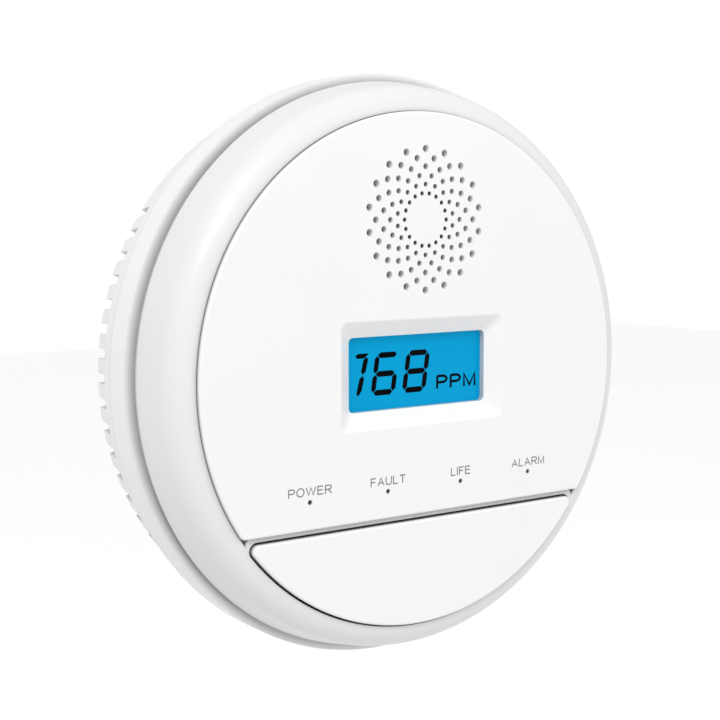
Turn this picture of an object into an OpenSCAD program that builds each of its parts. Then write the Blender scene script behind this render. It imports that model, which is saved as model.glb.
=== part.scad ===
// Round wall-mounted carbon monoxide detector with a display, a sounder and three AAA cells.
// Origin: centre of the wall plane. +Z is up the wall, +X is to the right, and -Y points out of the wall.
// Every module draws lying on its back, with z as the height above the wall, and on_wall() stands it up.

/* [Case] */
// Diameter over the bright band round the side
band_d = 105; // [100:1:126]
// Height of the band along the side
band_h = 5.2; // [4:0.2:7]
// Height of the tapered skirt behind the band
skirt_h = 9.6; // [8:0.2:12]
// Gap between the skirt's rear edge and the wall
wall_gap = 1.4; // [1:0.1:2]
// Step from the band in to the skirt's front
skirt_step = 0.7; // [0.4:0.1:1]
// Step from the band in to the skirt's rear edge
skirt_taper = 2.5; // [1.5:0.1:3]
// Thickness of the skirt's wall
skirt_wall = 1.9; // [1.4:0.1:2.2]
// Thickness of the rear wall
rear_wall = 1.6; // [1.2:0.1:2]
// Width of the dark groove between the band and the front cover
groove_w = 1.3; // [0.8:0.1:1.8]
// Depth of that groove
groove_depth = 2.1; // [1:0.1:2.5]

/* [Front cover] */
// Width of the sloping rim from the panel to the band, seen from the front
rim_w = 7.25; // [7:0.05:9]
// Radius of the rim's round shoulder
rim_round = 4.9; // [3:0.1:5.5]
// Draft angle of the cover's side wall
rim_draft = 11; // [6:0.5:12]
// Thickness of the cover's side wall at its rear edge
cover_wall = 1.65; // [1.4:0.05:2]
// Thickness of the cover's inner floor, which carries the panel
floor_t = 1.1; // [0.9:0.1:1.6]
// Room between the circuit board and the cover's floor
front_room = 8.3; // [8:0.1:11]

/* [Front panel] */
// Thickness of the panel
plate_t = 2; // [1.6:0.1:2.4]
// How far the panel stands proud of the rim
plate_proud = 0.95; // [0.5:0.05:1.2]
// Clearance round the panel in its pocket
plate_gap = 0.1; // [0.05:0.05:0.2]
// Distance from the centre down to the panel's straight lower edge
chord_drop = 25.3; // [24.5:0.1:27]
// Radius of the panel's and button's corners
corner_r = 1.1; // [0.8:0.1:1.6]

/* [Sounder holes] */
// Rings of holes
ring_count = 6; // [4:1:6]
// Holes in each ring
ring_holes = 18; // [12:2:18]
// Spacing of the rings, and half the radius of the blank centre
ring_pitch = 1.534; // [1.3:0.002:1.86]
// Distance from the outermost ring to the panel's edge
ring_margin = 6.4; // [5:0.1:8]
// Diameter of the innermost holes
hole_in_d = 0.77; // [0.6:0.01:0.9]
// Diameter of the outermost holes
hole_out_d = 1.28; // [1:0.01:1.4]

/* [Display] */
// Width of the display window
window_w = 30.3; // [24:0.1:36.4]
// Height of the display window
window_h = 13; // [11:0.1:14]
// Width of the sloped frame round the window
bezel_w = 2.85; // [2:0.05:3]
// Thickness of the display glass
glass_t = 2.4; // [1.6:0.1:2.8]
// How far the glass runs past the window on each side
glass_lap = 2.2; // [1.6:0.1:2.6]
// Thickness of the light guide behind the glass
guide_t = 2; // [1.5:0.1:2.4]

/* [Lights] */
// Spacing of the four indicator lights
led_pitch = 16.33; // [15:0.01:17]
// Height of the lights above the panel's lower edge
led_rise = 4.8; // [4:0.1:5.2]
// Diameter of each light hole
led_hole_d = 0.8; // [0.6:0.05:1.4]
// Diameter of each light pipe
pipe_d = 2; // [1.6:0.1:2.4]

/* [Test button] */
// Width of the bar between the panel and the button
bar_w = 1.2; // [1:0.1:1.6]
// Gap round the button
button_gap = 0.32; // [0.25:0.01:0.45]
// Thickness of the button's skin
button_skin = 1.6; // [1.2:0.1:2]
// Height of the button's skirt, over all
button_h = 5; // [4.6:0.1:5.4]
// Distance from the button's straight edge down to its hinge pins
hinge_drop = 2.4; // [2.2:0.1:3]
// Depth of the hinge pins below the button's face
hinge_depth = 3.4; // [3.2:0.1:3.6]
// Diameter of the button's hinge pins
button_pin_d = 1.6; // [1.3:0.1:2]
// Distance from the centre out to each hinge lug
lug_x = 20; // [16:0.5:22]
// Distance from the hinge pins down to the switch
switch_drop = 9; // [8:0.5:11]

/* [Batteries] */
// Diameter of one AAA cell
cell_d = 10.5; // [8.7:0.1:12.6]
// Length of one AAA cell, over its button end
cell_len = 44.5; // [40:0.1:46]
// Gap between neighbouring cells
cell_gap = 0.7; // [0.4:0.1:1]
// Room for the springs at one end of the cells
spring_len = 4.5; // [3.5:0.1:5]
// Thickness of the battery bay's walls
bay_wall = 1.4; // [1.2:0.1:1.8]
// Thickness of the battery door
door_t = 1.4; // [1.2:0.1:1.8]
// Diameter of the battery door's hinge pins
door_pin_d = 1.5; // [1.2:0.1:1.8]

/* [Board and sensor] */
// Thickness of the circuit board
board_t = 1.6; // [1.2:0.1:2]
// Clearance between the board's edge and the case
board_gap = 1.9; // [1:0.1:2.5]
// Outer diameter of the sounder's case
sounder_d = 28; // [27.4:0.2:32]
// Diameter of the gas sensor
sensor_d = 14; // [11.6:0.2:16]
// Shank diameter of the case screws
screw_d = 2.6; // [2.2:0.1:3.2]

/* [Mounting plate] */
// Distance between the two wall screws
screw_pitch = 82; // [78:1:82]
// Width of each screw slot
slot_w = 4.4; // [4:0.1:5]
// Length of each screw slot, end to end
slot_len = 7; // [6:0.1:8]
// Thickness of the mounting plate
ring_t = 2.4; // [2:0.1:3]
// Width of the mounting plate's ring
ring_w = 13; // [12:0.5:14]
// Twist that unlocks the detector from the plate, in degrees
twist = 15; // [10:1:18]

/* [Hidden] */
$fn = 96;

// Small distances that recur
fit = 0.05;      // radial clearance of a running pin
loose = 0.2;     // clearance round a part that drops in
eps = 0.01;      // how far a cut runs past a face

// Heights above the wall, from the wall out
rear_inset = 4.8;   // from the skirt's rear edge in to the rear wall
ceiling_t = 1;      // the bay's wall under the circuit board
ceiling_gap = 0.3;  // from that wall to the board
skirt_top = wall_gap + skirt_h;
band_top = skirt_top + band_h;
cover_base = band_top + groove_w;
rear_z = wall_gap + rear_inset;
inner_z = rear_z + rear_wall;
door_z = wall_gap + loose;
door_top = door_z + door_t;
cell_z = door_top + loose + cell_d / 2;
bay_ceiling = cell_z + cell_d / 2 + loose;
board_z = bay_ceiling + ceiling_t + ceiling_gap;
board_top = board_z + board_t;
floor_back = board_top + front_room;
plate_back = floor_back + floor_t;
face_z = plate_back + plate_t;
deck_z = face_z - plate_proud;

// Radii of the case
skirt_swell = 0.2;    // how far the skirt swells past a straight taper
body_wall = 2.2;      // case wall behind the band
spigot_t = 1.5;       // wall of the spigot that the cover slides over
spigot_h = 3.2;       // height of that spigot
spigot_gap = 0.15;    // its clearance inside the cover
chamfer_h = 2.4;      // chamfer between the cover's side wall and its floor
chamfer_w = 1.3;
band_r = band_d / 2;
skirt_front_r = band_r - skirt_step;
skirt_rear_r = band_r - skirt_taper;
skirt_mid_r = (skirt_front_r + skirt_rear_r) / 2 + skirt_swell;
collar_r = band_r - groove_depth;
plate_r = band_r - rim_w;
pocket_r = plate_r + plate_gap;
shoulder_x = plate_r - fit;
shoulder_z = deck_z - rim_round;
wall_x = shoulder_x + rim_round * cos(rim_draft);
wall_z = shoulder_z + rim_round * sin(rim_draft);
cover_base_r = wall_x + (wall_z - cover_base) * tan(rim_draft);
cover_in_r = cover_base_r - cover_wall;
spigot_r = cover_in_r - spigot_gap;
spigot_in_r = spigot_r - spigot_t;
wall_in_r = spigot_in_r + 0.1;
body_in_r = skirt_front_r - body_wall;
board_r = spigot_in_r - board_gap;

// Side vents: notches in the skirt's rear edge, left and right
notch_pitch = 4.8;
notch_side = 15;
notch_in_w = 1.55;
notch_out_w = 1.85;
notch_top = rear_z - loose;

// Display stack, from the floor back
window_r = 0.9;
glass_w = window_w + 2 * glass_lap;
glass_h = window_h + 2 * glass_lap + 1;  // the extra millimetre carries the pins
glass_top = floor_back - fit;
glass_z = glass_top - glass_t;
guide_z = glass_z - fit - guide_t;
holder_wall = 1.8;
holder_w = glass_w + 2 * (loose + holder_wall);
holder_h = glass_h + 2 * (loose + holder_wall);
pin_row_y = -window_h / 2 - 1.7;
lcd_pin_d = 0.5;
lcd_pin_count = 12;
lcd_pin_pitch = 2;

// Sounder pattern
ring_out_r = ring_pitch * (ring_count + 2);
sounder_y = max(plate_r - ring_margin - ring_out_r, holder_h / 2 + sounder_d / 2 + 0.8);
cloth_r = ring_out_r + 0.85;
cloth_t = 0.3;
sounder_wall = 1.2;
sounder_slit = 3;
piezo_t = 0.25;
ceramic_r = 9;
ceramic_t = 0.2;
lead_r = 0.35;
lead_side = 0.7;
piezo_z = board_top + 0.5 * front_room;

// Lights
led_y = led_rise - chord_drop;
led_x = [for (i = [0:3]) (i - 1.5) * led_pitch];
led_size = [1.6, 0.8, 0.7];
pipe_z = board_top + led_size[2] + loose;
pipe_flange_t = 0.85;
pipe_flange_w = 0.7;

// Test button
edge_drop = chord_drop + bar_w;
button_r = plate_r;
well_r = button_r + button_gap;
well_wall = 1.3;
well_floor = face_z - button_h - 1;
surround_h = deck_z - plate_back + eps;  // of the bar and the rim round the button
button_wall = 1.2;
boss_under_r = 2.2;
boss_travel = 0.1;
hinge_y = -(edge_drop + hinge_drop);
hinge_z = face_z - hinge_depth;
lug_t = 2;
lug_reach = 1.35;
lug_play = 0.3;
rib_t = 1.4;
rib_x = lug_x + lug_t + 0.6;
switch_y = hinge_y - switch_drop;
switch_size = [6, 6, 3.5];
stem_d = 3.4;
stem_top = well_floor + 0.8;
stem_base = board_top + 2.4;

// Battery bay
cell_pitch = cell_d + cell_gap;
bay_w = cell_len + spring_len + 1;
bay_h = 3 * cell_d + 2 * cell_gap + 1.5;
bay_out_w = bay_w + 2 * bay_wall;
bay_out_h = bay_h + 2 * bay_wall;
contact_t = 0.4;
cell_x0 = bay_w / 2 - 0.5;
contact_rise = 1.5;  // lowest edge of a contact plate above the cell's underside
contact_x = cell_x0 + contact_t / 2;
contact_z = cell_z - cell_d / 2 + contact_rise;
contact_h = cell_d - contact_rise - 1;
tab_w = 3;
spring_r = 3.4;
spring_shrink = 1.3;
spring_wire = 0.25;
spring_turns = 3;
spring_steps = 10;
nipple_r = 1.9;
nipple_h = 0.9;
knuckle_r = 1.4;
door_hinge_y = bay_h / 2 - knuckle_r - loose;
door_hinge_z = door_z + knuckle_r;
door_w = bay_w - 0.6;
door_low_y = 0.3 - bay_h / 2;
door_clip = [10, 1.2, 1.4];
label_size = [36, 20, 0.12];

// Screw posts: one of each kind in each quarter of the case
boss_r = 3.6;
post_r = 3;
boss_x = bay_out_w / 2 + 1.8;
boss_y = bay_out_h / 2 + boss_r + 1.8;
case_posts = [for (sx = [-1, 1], sy = [-1, 1]) [sx * boss_x, sy * boss_y]];
board_posts = [
    [-20, -(edge_drop + 7.5)], [20, -(edge_drop + 7.5)],
    [-(sounder_d / 2 + 10), sounder_y + 9.4], [sounder_d / 2 + 10, sounder_y + 9.4]
];
case_head_d = 2 * screw_d - 0.2;
case_head_h = 1.9;
case_head_z = rear_z + 0.3;
case_post_top = board_z - ceiling_gap;
case_tip_z = floor_back - 2.5;
board_screw_d = 2;
board_head_d = 4;
board_head_h = 1.5;
board_tip_z = board_top + 3.2;

// Gas sensor, beside the battery bay
sensor_x = -(bay_out_w / 2 + sensor_d / 2 + 3.6);
sensor_y = 4;
sensor_z = inner_z + 0.6;
sensor_cap_h = 1;
sensor_pin_h = 0.8;
sensor_slot = [1.2, 9];
sensor_slot_pitch = 3;

// Parts on the board beside the display, to the right and to the left
right_x = holder_w / 2 + 10.5;
left_x = -right_x;
chip_y = -6;
chip_size = [10, 10, 1.4];
leg_size = [1, 0.4, 0.6];
leg_pitch = 1.2;
resistor_y = -8;
resistor_size = [1.6, 0.8, 0.5];
capacitor_at = [[right_x - 1, 8.5], [right_x + 5.4, 4.5]];
capacitor_foot = [5.4, 0.8];
capacitor_can = [2.5, 5];
coil_y = 7.5;
coil_w = 6;
coil_core = [2, 1.6];

// Mounting plate and its three bayonet tabs
ring_plate_r = screw_pitch / 2 + 6;
ring_hole_r = max(ring_plate_r - ring_w, norm([bay_out_w, bay_out_h]) / 2 + loose);
tab_angles = [90, 210, 330];
tab_half = 3;
tab_in_r = 42.2;
tab_out_r = 43.8;
tab_lip = 1.2;
tab_gap = 0.3;
tab_head_z = inner_z + 0.2;
tab_head_h = 1.3;
slot_slack = 0.7;

// Stands a part up: z becomes the distance out of the wall
module on_wall() {
    rotate([90, 0, 0]) children();
}

// Points along an arc
function arc_points(cx, cy, r, a0, a1, n) =
    [for (i = [0:n]) let (a = a0 + (a1 - a0) * i / n) [cx + r * cos(a), cy + r * sin(a)]];

// Part of a disc above a chord, with both corners rounded
function cap_outline(r, chord, k) =
    let (cy = chord + k, cx = sqrt((r - k) * (r - k) - cy * cy), a = atan2(cy, cx))
    concat(
        arc_points(0, 0, r, a, 180 - a, 72),
        arc_points(-cx, cy, k, 180 - a, 270, 5),
        arc_points(cx, cy, k, 270, 360 + a, 5)
    );

// Rectangle about the origin with rounded corners
function rect_outline(w, h, k) =
    concat(
        arc_points(w / 2 - k, h / 2 - k, k, 0, 90, 5),
        arc_points(k - w / 2, h / 2 - k, k, 90, 180, 5),
        arc_points(k - w / 2, k - h / 2, k, 180, 270, 5),
        arc_points(w / 2 - k, k - h / 2, k, 270, 360, 5)
    );

// Block with rounded corners, centred, from height z up
module slab(w, h, z, t, k) {
    translate([0, 0, z]) linear_extrude(t) polygon(rect_outline(w, h, k));
}

// Plain block, centred in x and y, from height z up
module block(w, h, z, t) {
    translate([-w / 2, -h / 2, z]) cube([w, h, t]);
}

// Upright cylinder from height z up
module rod(r, z, h) {
    translate([0, 0, z]) cylinder(r = r, h = h);
}

// Lower part of a disc, below the chord at -drop, from height z up
module lower_cap(r, drop, k, z, t) {
    translate([0, 0, z]) linear_extrude(t) mirror([0, 1]) polygon(cap_outline(r, drop, k));
}

// Part of a ring between two angles
module sector(r0, r1, a0, a1, z, t) {
    rotate([0, 0, a0]) rotate_extrude(angle = a1 - a0) translate([r0, z]) square([r1 - r0, t]);
}

// Points of a ring round a path point, square to the path
function ring_at(p, dir, r, sides) =
    let (
        up = abs(dir[2]) < 0.9 ? [0, 0, 1] : [1, 0, 0],
        u = cross(dir, up) / norm(cross(dir, up)),
        v = cross(u, dir)
    )
    [for (i = [0:sides - 1]) let (a = 360 * i / sides) p + r * (cos(a) * u + sin(a) * v)];

// Round wire of radius r swept along a list of points
module wire(path, r, sides) {
    n = len(path);
    dirs = [for (i = [0:n - 1])
        let (d = path[min(i + 1, n - 1)] - path[max(i - 1, 0)]) d / norm(d)];
    points = [for (i = [0:n - 1]) each ring_at(path[i], dirs[i], r, sides)];
    walls = [for (i = [0:n - 2], j = [0:sides - 1])
        let (k = (j + 1) % sides)
        [i * sides + j, (i + 1) * sides + j, (i + 1) * sides + k, i * sides + k]];
    first = [for (j = [0:sides - 1]) j];
    last = [for (j = [sides - 1:-1:0]) (n - 1) * sides + j];
    polyhedron(points = points, faces = concat(walls, [first], [last]));
}

// Flat ring that is screwed to the wall, with three bayonet tabs
module mounting_plate() {
    color("gainsboro") on_wall() {
        difference() {
            rod(ring_plate_r, 0, ring_t);
            rod(ring_hole_r, -eps, ring_t + 2 * eps);
            for (s = [-1, 1]) translate([s * screw_pitch / 2, 0, 0]) screw_slot();
        }
        for (a = tab_angles) bayonet_tab(a);
    }
}

module screw_slot() {
    reach = (slot_len - slot_w) / 2;
    for (s = [-1, 1]) translate([s * reach, 0, 0]) rod(slot_w / 2, -eps, ring_t + 2 * eps);
    block(2 * reach, slot_w, -eps, ring_t + 2 * eps);
}

module bayonet_tab(a) {
    sector(tab_in_r, tab_out_r, a - tab_half, a + tab_half, ring_t - 0.5, tab_head_z - ring_t + 0.5);
    sector(tab_in_r - tab_lip, tab_out_r + tab_lip, a - tab_half, a + tab_half, tab_head_z, tab_head_h);
}

// Rear half of the case: band, notched skirt, rear wall and battery bay
module rear_housing() {
    color("white") on_wall() difference() {
        union() {
            rotate_extrude() polygon([
                [0, rear_z], [skirt_mid_r - skirt_wall, rear_z], [skirt_rear_r - skirt_wall, wall_gap],
                [skirt_rear_r, wall_gap], [skirt_mid_r, rear_z], [skirt_front_r, skirt_top],
                [band_r, skirt_top], [band_r, band_top], [collar_r, band_top],
                [collar_r, cover_base - 0.1], [spigot_r, cover_base - 0.1],
                [spigot_r, cover_base + spigot_h], [spigot_in_r, cover_base + spigot_h],
                [spigot_in_r, band_top], [body_in_r, skirt_top + 2], [body_in_r, inner_z], [0, inner_z]
            ]);
            block(bay_out_w, bay_out_h, door_z, bay_ceiling + ceiling_t - door_z);
            for (p = case_posts) translate(p) rod(boss_r, rear_z + eps, case_post_top - rear_z);
        }
        block(bay_w, bay_h, door_z - eps, bay_ceiling - door_z + eps);
        for (side = [0, 180], i = [0:notch_side - 1])
            rotate([0, 0, side + (i - (notch_side - 1) / 2) * notch_pitch]) skirt_notch();
        for (a = tab_angles) bayonet_slot(a);
        for (p = case_posts) translate(p) screw_channel();
        for (i = [-1:1]) translate([sensor_x + sensor_slot_pitch * i, sensor_y, 0])
            block(sensor_slot[0], sensor_slot[1], rear_z - 1, rear_wall + 2);
        for (s = [-1, 1], y = tab_rows(s)) translate([s * contact_x, y, 0])
            block(contact_t + 0.4, tab_w + 0.4, bay_ceiling - eps, ceiling_t + 2 * eps);
        for (s = [-1, 1]) translate([s * bay_w / 2, door_hinge_y, door_hinge_z])
            rotate([0, 90, 0]) cylinder(r = door_pin_d / 2 + fit, h = 2 * bay_wall + 1, center = true);
    }
}

// Notch that widens a little towards the skirt's rear edge
module skirt_notch() {
    translate([skirt_rear_r - skirt_wall - 1, 0, 0]) rotate([90, 0, 90])
        linear_extrude(skirt_taper + skirt_wall + 2) polygon([
            [-notch_in_w / 2, notch_top], [-notch_out_w / 2, wall_gap - 1],
            [notch_out_w / 2, wall_gap - 1], [notch_in_w / 2, notch_top]
        ]);
}

// Arc slot for one tab: narrow where the tab locks, wide where its head passes
module bayonet_slot(a) {
    low = a - twist;
    past = tab_half + slot_slack;
    sector(tab_in_r - tab_gap, tab_out_r + tab_gap, low - past, a + past, rear_z - 1, rear_wall + 2);
    sector(tab_in_r - tab_lip - tab_gap, tab_out_r + tab_lip + tab_gap, low - past, low + past,
        rear_z - 1, rear_wall + 2);
}

module screw_channel() {
    rod(case_head_d / 2 + loose, rear_z - 1, case_head_z + case_head_h - rear_z + 1);
    rod(screw_d / 2 + loose, rear_z, board_z - rear_z);
}

// Front half of the case: round rim, floor under the panel, button well and screw posts
module front_cover() {
    color("white") on_wall() difference() {
        union() {
            rotate_extrude() polygon(concat(
                [[0, floor_back], [wall_in_r - chamfer_w, floor_back], [wall_in_r, floor_back - chamfer_h],
                    [wall_in_r, cover_base + spigot_h + 0.3],
                    [cover_in_r, cover_base + spigot_h + 0.3], [cover_in_r, cover_base],
                    [cover_base_r, cover_base]],
                arc_points(shoulder_x, shoulder_z, rim_round, rim_draft, 88, 24),
                [[pocket_r, deck_z], [pocket_r, plate_back], [0, plate_back]]
            ));
            lower_cap(well_r + well_wall, edge_drop - button_gap - well_wall, 1.5,
                well_floor - floor_t, plate_back - well_floor + floor_t);
            lower_cap(pocket_r + 0.1, chord_drop + plate_gap, corner_r, plate_back - eps, surround_h);
            for (p = case_posts) translate(p) rod(post_r, board_top, floor_back - board_top + eps);
            for (p = board_posts) translate(p) rod(post_r - 0.4, board_top, floor_back - board_top + eps);
        }
        well_cut();
        slab(window_w, window_h, floor_back - 1, floor_t + 2, window_r);
        translate([0, sounder_y, 0]) rod(cloth_r + 0.1, floor_back - 1, floor_t + 2);
        for (x = led_x) translate([x, led_y, 0]) rod(pipe_d / 2 + 0.1, floor_back - 1, floor_t + 2);
        for (p = case_posts) translate(p) rod(screw_d / 2 + fit, board_top - 1, case_tip_z - board_top + 1.5);
        for (p = board_posts) translate(p)
            rod(board_screw_d / 2 + fit, board_top - 1, board_tip_z - board_top + 1.3);
        translate([0, switch_y, 0]) rod(stem_d / 2 + 0.3, well_floor - floor_t - 1, floor_t + 2);
    }
}

// The well that the button sits in, leaving the two hinge lugs standing
module well_cut() {
    difference() {
        lower_cap(well_r, edge_drop - button_gap, corner_r + button_gap, well_floor, face_z - well_floor + 1);
        for (s = [-1, 1]) difference() {
            translate([s * (lug_x + lug_t / 2), hinge_y, 0])
                block(lug_t, 2 * lug_reach, well_floor - 1, hinge_z + lug_reach - well_floor + 1);
            translate([s * lug_x, hinge_y, hinge_z])
                rotate([0, 90, 0]) cylinder(r = button_pin_d / 2 + fit, h = 4 * lug_t, center = true);
        }
    }
}

// Raised front panel with the sounder holes, the display frame and the light holes
module face_plate() {
    color("white") on_wall() difference() {
        translate([0, 0, plate_back]) linear_extrude(plate_t)
            polygon(cap_outline(plate_r, -chord_drop, corner_r));
        display_recess();
        translate([0, sounder_y, 0]) for (i = [1:ring_count], k = [0:ring_holes - 1]) {
            turn = (k + (i % 2 == 0 ? 0.5 : 0)) * 360 / ring_holes;
            rotate([0, 0, turn]) translate([ring_pitch * (i + 2), 0, 0])
                rod(ring_hole_d(i) / 2, plate_back - 1, plate_t + 2, $fn = 24);
        }
        for (x = led_x) translate([x, led_y, 0]) rod(led_hole_d / 2, plate_back - 1, plate_t + 2);
    }
}

// Hole diameter grows evenly from the innermost ring to the outermost
function ring_hole_d(i) = hole_in_d + (hole_out_d - hole_in_d) * (i - 1) / (ring_count - 1);

// Sloped frame from the face down to the window
module display_recess() {
    hull() {
        translate([0, 0, face_z]) linear_extrude(1)
            polygon(rect_outline(window_w + 2 * bezel_w, window_h + 2 * bezel_w, 1));
        translate([0, 0, plate_back - 1]) linear_extrude(1)
            polygon(rect_outline(window_w, window_h, window_r));
    }
}

// Dust cloth under the sounder holes
module speaker_cloth() {
    color("dimgray") on_wall() translate([0, sounder_y, 0]) rod(cloth_r, plate_back - cloth_t, cloth_t);
}

module lcd_glass() {
    color("deepskyblue") on_wall() slab(glass_w, glass_h, glass_z, glass_t, 0.4);
}

module lcd_light_guide() {
    color("lightcyan") on_wall() slab(window_w, window_h, guide_z, guide_t, 0.5);
}

// Frame that carries the glass and the light guide on the board
module lcd_holder() {
    color("whitesmoke") on_wall() difference() {
        slab(holder_w, holder_h, board_top, glass_top - 0.4 - board_top, 1);
        block(glass_w + 2 * loose, glass_h + 2 * loose, glass_z, glass_t + 1);
        block(window_w + 2 * loose, window_h + 2 * loose, guide_z, guide_t + 1);
        block(window_w - 2, window_h - 2, board_top - 1, guide_z - board_top - 0.2);
        translate([0, pin_row_y, 0])
            block(lcd_pin_count * lcd_pin_pitch, lcd_pin_d + 0.6, board_top - 1, glass_z - board_top + 2);
    }
}

module lcd_pins() {
    color("silver") on_wall() for (i = [0:lcd_pin_count - 1])
        translate([(i - (lcd_pin_count - 1) / 2) * lcd_pin_pitch, pin_row_y, 0])
            rod(lcd_pin_d / 2, board_top, glass_z - board_top, $fn = 16);
}

// Clear rods that carry light from the board to the panel's light holes
module light_pipes() {
    color("white") on_wall() for (x = led_x) translate([x, led_y, 0]) {
        rod(pipe_d / 2, pipe_z, plate_back - fit - pipe_z);
        rod(pipe_d / 2 + pipe_flange_w, floor_back - fit - pipe_flange_t, pipe_flange_t);
    }
}

module indicator_leds() {
    color("gold") on_wall() for (x = led_x) translate([x, led_y, 0])
        block(led_size[0], led_size[1], board_top, led_size[2]);
}

module main_board() {
    color("darkgreen") on_wall() difference() {
        rod(board_r, board_z, board_t);
        for (p = case_posts) translate(p) rod(screw_d / 2 + loose, board_z - 1, board_t + 2);
        for (p = board_posts) translate(p) rod(board_screw_d / 2 + 0.15, board_z - 1, board_t + 2);
    }
}

module controller_chip() {
    color([0.12, 0.12, 0.13]) on_wall() translate([right_x, chip_y, 0])
        slab(chip_size[0], chip_size[1], board_top + 0.2, chip_size[2], 0.3);
}

module controller_legs() {
    color("silver") on_wall() translate([right_x, chip_y, 0])
        for (a = [0:90:270], i = [-3:3]) rotate([0, 0, a])
            translate([chip_size[0] / 2 + leg_size[0] / 2, leg_pitch * i, 0])
                block(leg_size[0], leg_size[1], board_top, leg_size[2]);
}

module board_resistors() {
    color([0.2, 0.2, 0.22]) on_wall() translate([left_x, resistor_y, 0])
        for (i = [-1:1], j = [-1:2]) translate([3.4 * i, 2.6 * j, 0])
            block(resistor_size[0], resistor_size[1], board_top, resistor_size[2]);
}

module board_capacitors() {
    color("silver") on_wall() for (p = capacitor_at) translate(p) {
        block(capacitor_foot[0], capacitor_foot[0], board_top, capacitor_foot[1]);
        rod(capacitor_can[0], board_top + capacitor_foot[1], capacitor_can[1]);
    }
}

module step_up_coil() {
    color([0.25, 0.23, 0.22]) on_wall() translate([left_x, coil_y, 0]) {
        slab(coil_w, coil_w, board_top, 1, 0.8);
        rod(coil_core[0], board_top + 1, coil_core[1]);
        slab(coil_w, coil_w, board_top + 1 + coil_core[1], 0.6, 0.8);
    }
}

// Open cup that holds the piezo plate under the sounder holes
module sounder_case() {
    color([0.13, 0.13, 0.14]) on_wall() translate([0, sounder_y, 0]) difference() {
        rod(sounder_d / 2, board_top, front_room - fit);
        rod(sounder_d / 2 - sounder_wall, piezo_z, front_room);
        rod(sounder_d / 2 - sounder_wall - 1, board_top + sounder_wall, front_room);
        translate([0, sounder_d / 2, 0])
            block(sounder_slit, 2 * sounder_wall + 2, piezo_z - 1, front_room);
    }
}

module piezo_plate() {
    color("goldenrod") on_wall() translate([0, sounder_y, 0])
        rod(sounder_d / 2 - sounder_wall - 0.3, piezo_z, piezo_t);
}

module piezo_ceramic() {
    color("ghostwhite") on_wall() translate([0, sounder_y, 0])
        rod(ceramic_r, piezo_z + piezo_t, ceramic_t);
}

// Route of one sounder lead: off the plate, out through the cup's gap and down to the board
function lead_route(s) =
    let (y = sounder_y + sounder_d / 2, z = piezo_z + piezo_t + lead_r + fit)
    [[s, y - 3, z], [s, y - 1, z + 0.2], [s, y + 0.2, z], [s, y + 0.9, z - 0.8],
        [s, y + 1, z - 2], [s, y + 1, board_top]];

module sounder_leads() {
    color("firebrick") on_wall() for (s = [-1, 1]) wire(lead_route(s * lead_side), lead_r, 8);
}

module sensor_can() {
    color("silver") on_wall() translate([sensor_x, sensor_y, 0])
        rod(sensor_d / 2, sensor_z + sensor_cap_h, board_z - sensor_pin_h - sensor_z - sensor_cap_h);
}

// Perforated cap over the sensor's gas inlet
module sensor_cap() {
    color("white") on_wall() translate([sensor_x, sensor_y, 0]) difference() {
        rod(sensor_d / 2, sensor_z, sensor_cap_h);
        for (a = [0:60:300]) rotate([0, 0, a]) translate([sensor_d / 4, 0, 0])
            rod(0.7, sensor_z - 1, sensor_cap_h + 2);
    }
}

module sensor_pins() {
    color("goldenrod") on_wall() translate([sensor_x, sensor_y, 0]) for (a = [0:120:240])
        rotate([0, 0, a]) translate([sensor_d / 3, 0, 0])
            rod(0.5, board_z - sensor_pin_h, sensor_pin_h, $fn = 16);
}

module sensor_screen() {
    color("gray") on_wall() translate([sensor_x, sensor_y, 0]) rod(sensor_d / 2 - 0.5, inner_z, 0.3);
}

module switch_body() {
    color([0.1, 0.1, 0.1]) on_wall() translate([0, switch_y, 0]) difference() {
        block(switch_size[0], switch_size[1], board_top, switch_size[2]);
        rod(stem_d / 2 + 0.08, stem_base - 0.6, switch_size[2]);
    }
}

module switch_plunger() {
    color([0.3, 0.3, 0.32]) on_wall() translate([0, switch_y, 0])
        rod(stem_d / 2, stem_base, stem_top - stem_base);
}

// Test button: a shell with a flat front, a skirt, two hinge ribs with pins and a boss over the switch
module test_button() {
    color("white") on_wall() {
        difference() {
            lower_cap(button_r, edge_drop, corner_r, face_z - button_h, button_h);
            lower_cap(button_r - button_wall, edge_drop + button_wall, corner_r / 2,
                face_z - button_h - 1, button_h - button_skin + 1);
            for (s = [-1, 1]) translate([s * (lug_x + lug_t / 2), hinge_y, 0])
                block(lug_t + 1, 2 * (lug_reach + lug_play), face_z - button_h - 1,
                    button_h - button_skin + 1);
        }
        for (s = [-1, 1]) {
            translate([s * (rib_x + rib_t / 2), hinge_y, 0])
                block(rib_t, 2 * lug_reach, hinge_z - lug_reach, face_z - button_skin - hinge_z + lug_reach);
            translate([s * (rib_x + lug_x - 0.2) / 2, hinge_y, hinge_z]) rotate([0, 90, 0])
                cylinder(r = button_pin_d / 2, h = rib_x - lug_x + 0.2, center = true);
        }
        translate([0, switch_y, 0])
            rod(boss_under_r, stem_top + boss_travel, face_z - button_skin - stem_top - boss_travel);
    }
}

// Battery door with its knuckle and two hinge pins
module battery_door() {
    color("gainsboro") on_wall() {
        translate([0, (door_hinge_y + door_low_y) / 2, 0])
            block(door_w, door_hinge_y - door_low_y, door_z, door_t);
        translate([0, door_hinge_y, door_hinge_z]) rotate([0, 90, 0]) {
            cylinder(r = knuckle_r, h = door_w, center = true);
            cylinder(r = door_pin_d / 2, h = bay_w + 2 * bay_wall - 0.4, center = true);
        }
        translate([0, door_low_y + door_clip[1] / 2, 0])
            block(door_clip[0], door_clip[1], door_top - eps, door_clip[2]);
    }
}

module rating_label() {
    color("whitesmoke") on_wall()
        slab(label_size[0], label_size[1], door_z - label_size[2], label_size[2], 1.5);
}

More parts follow.
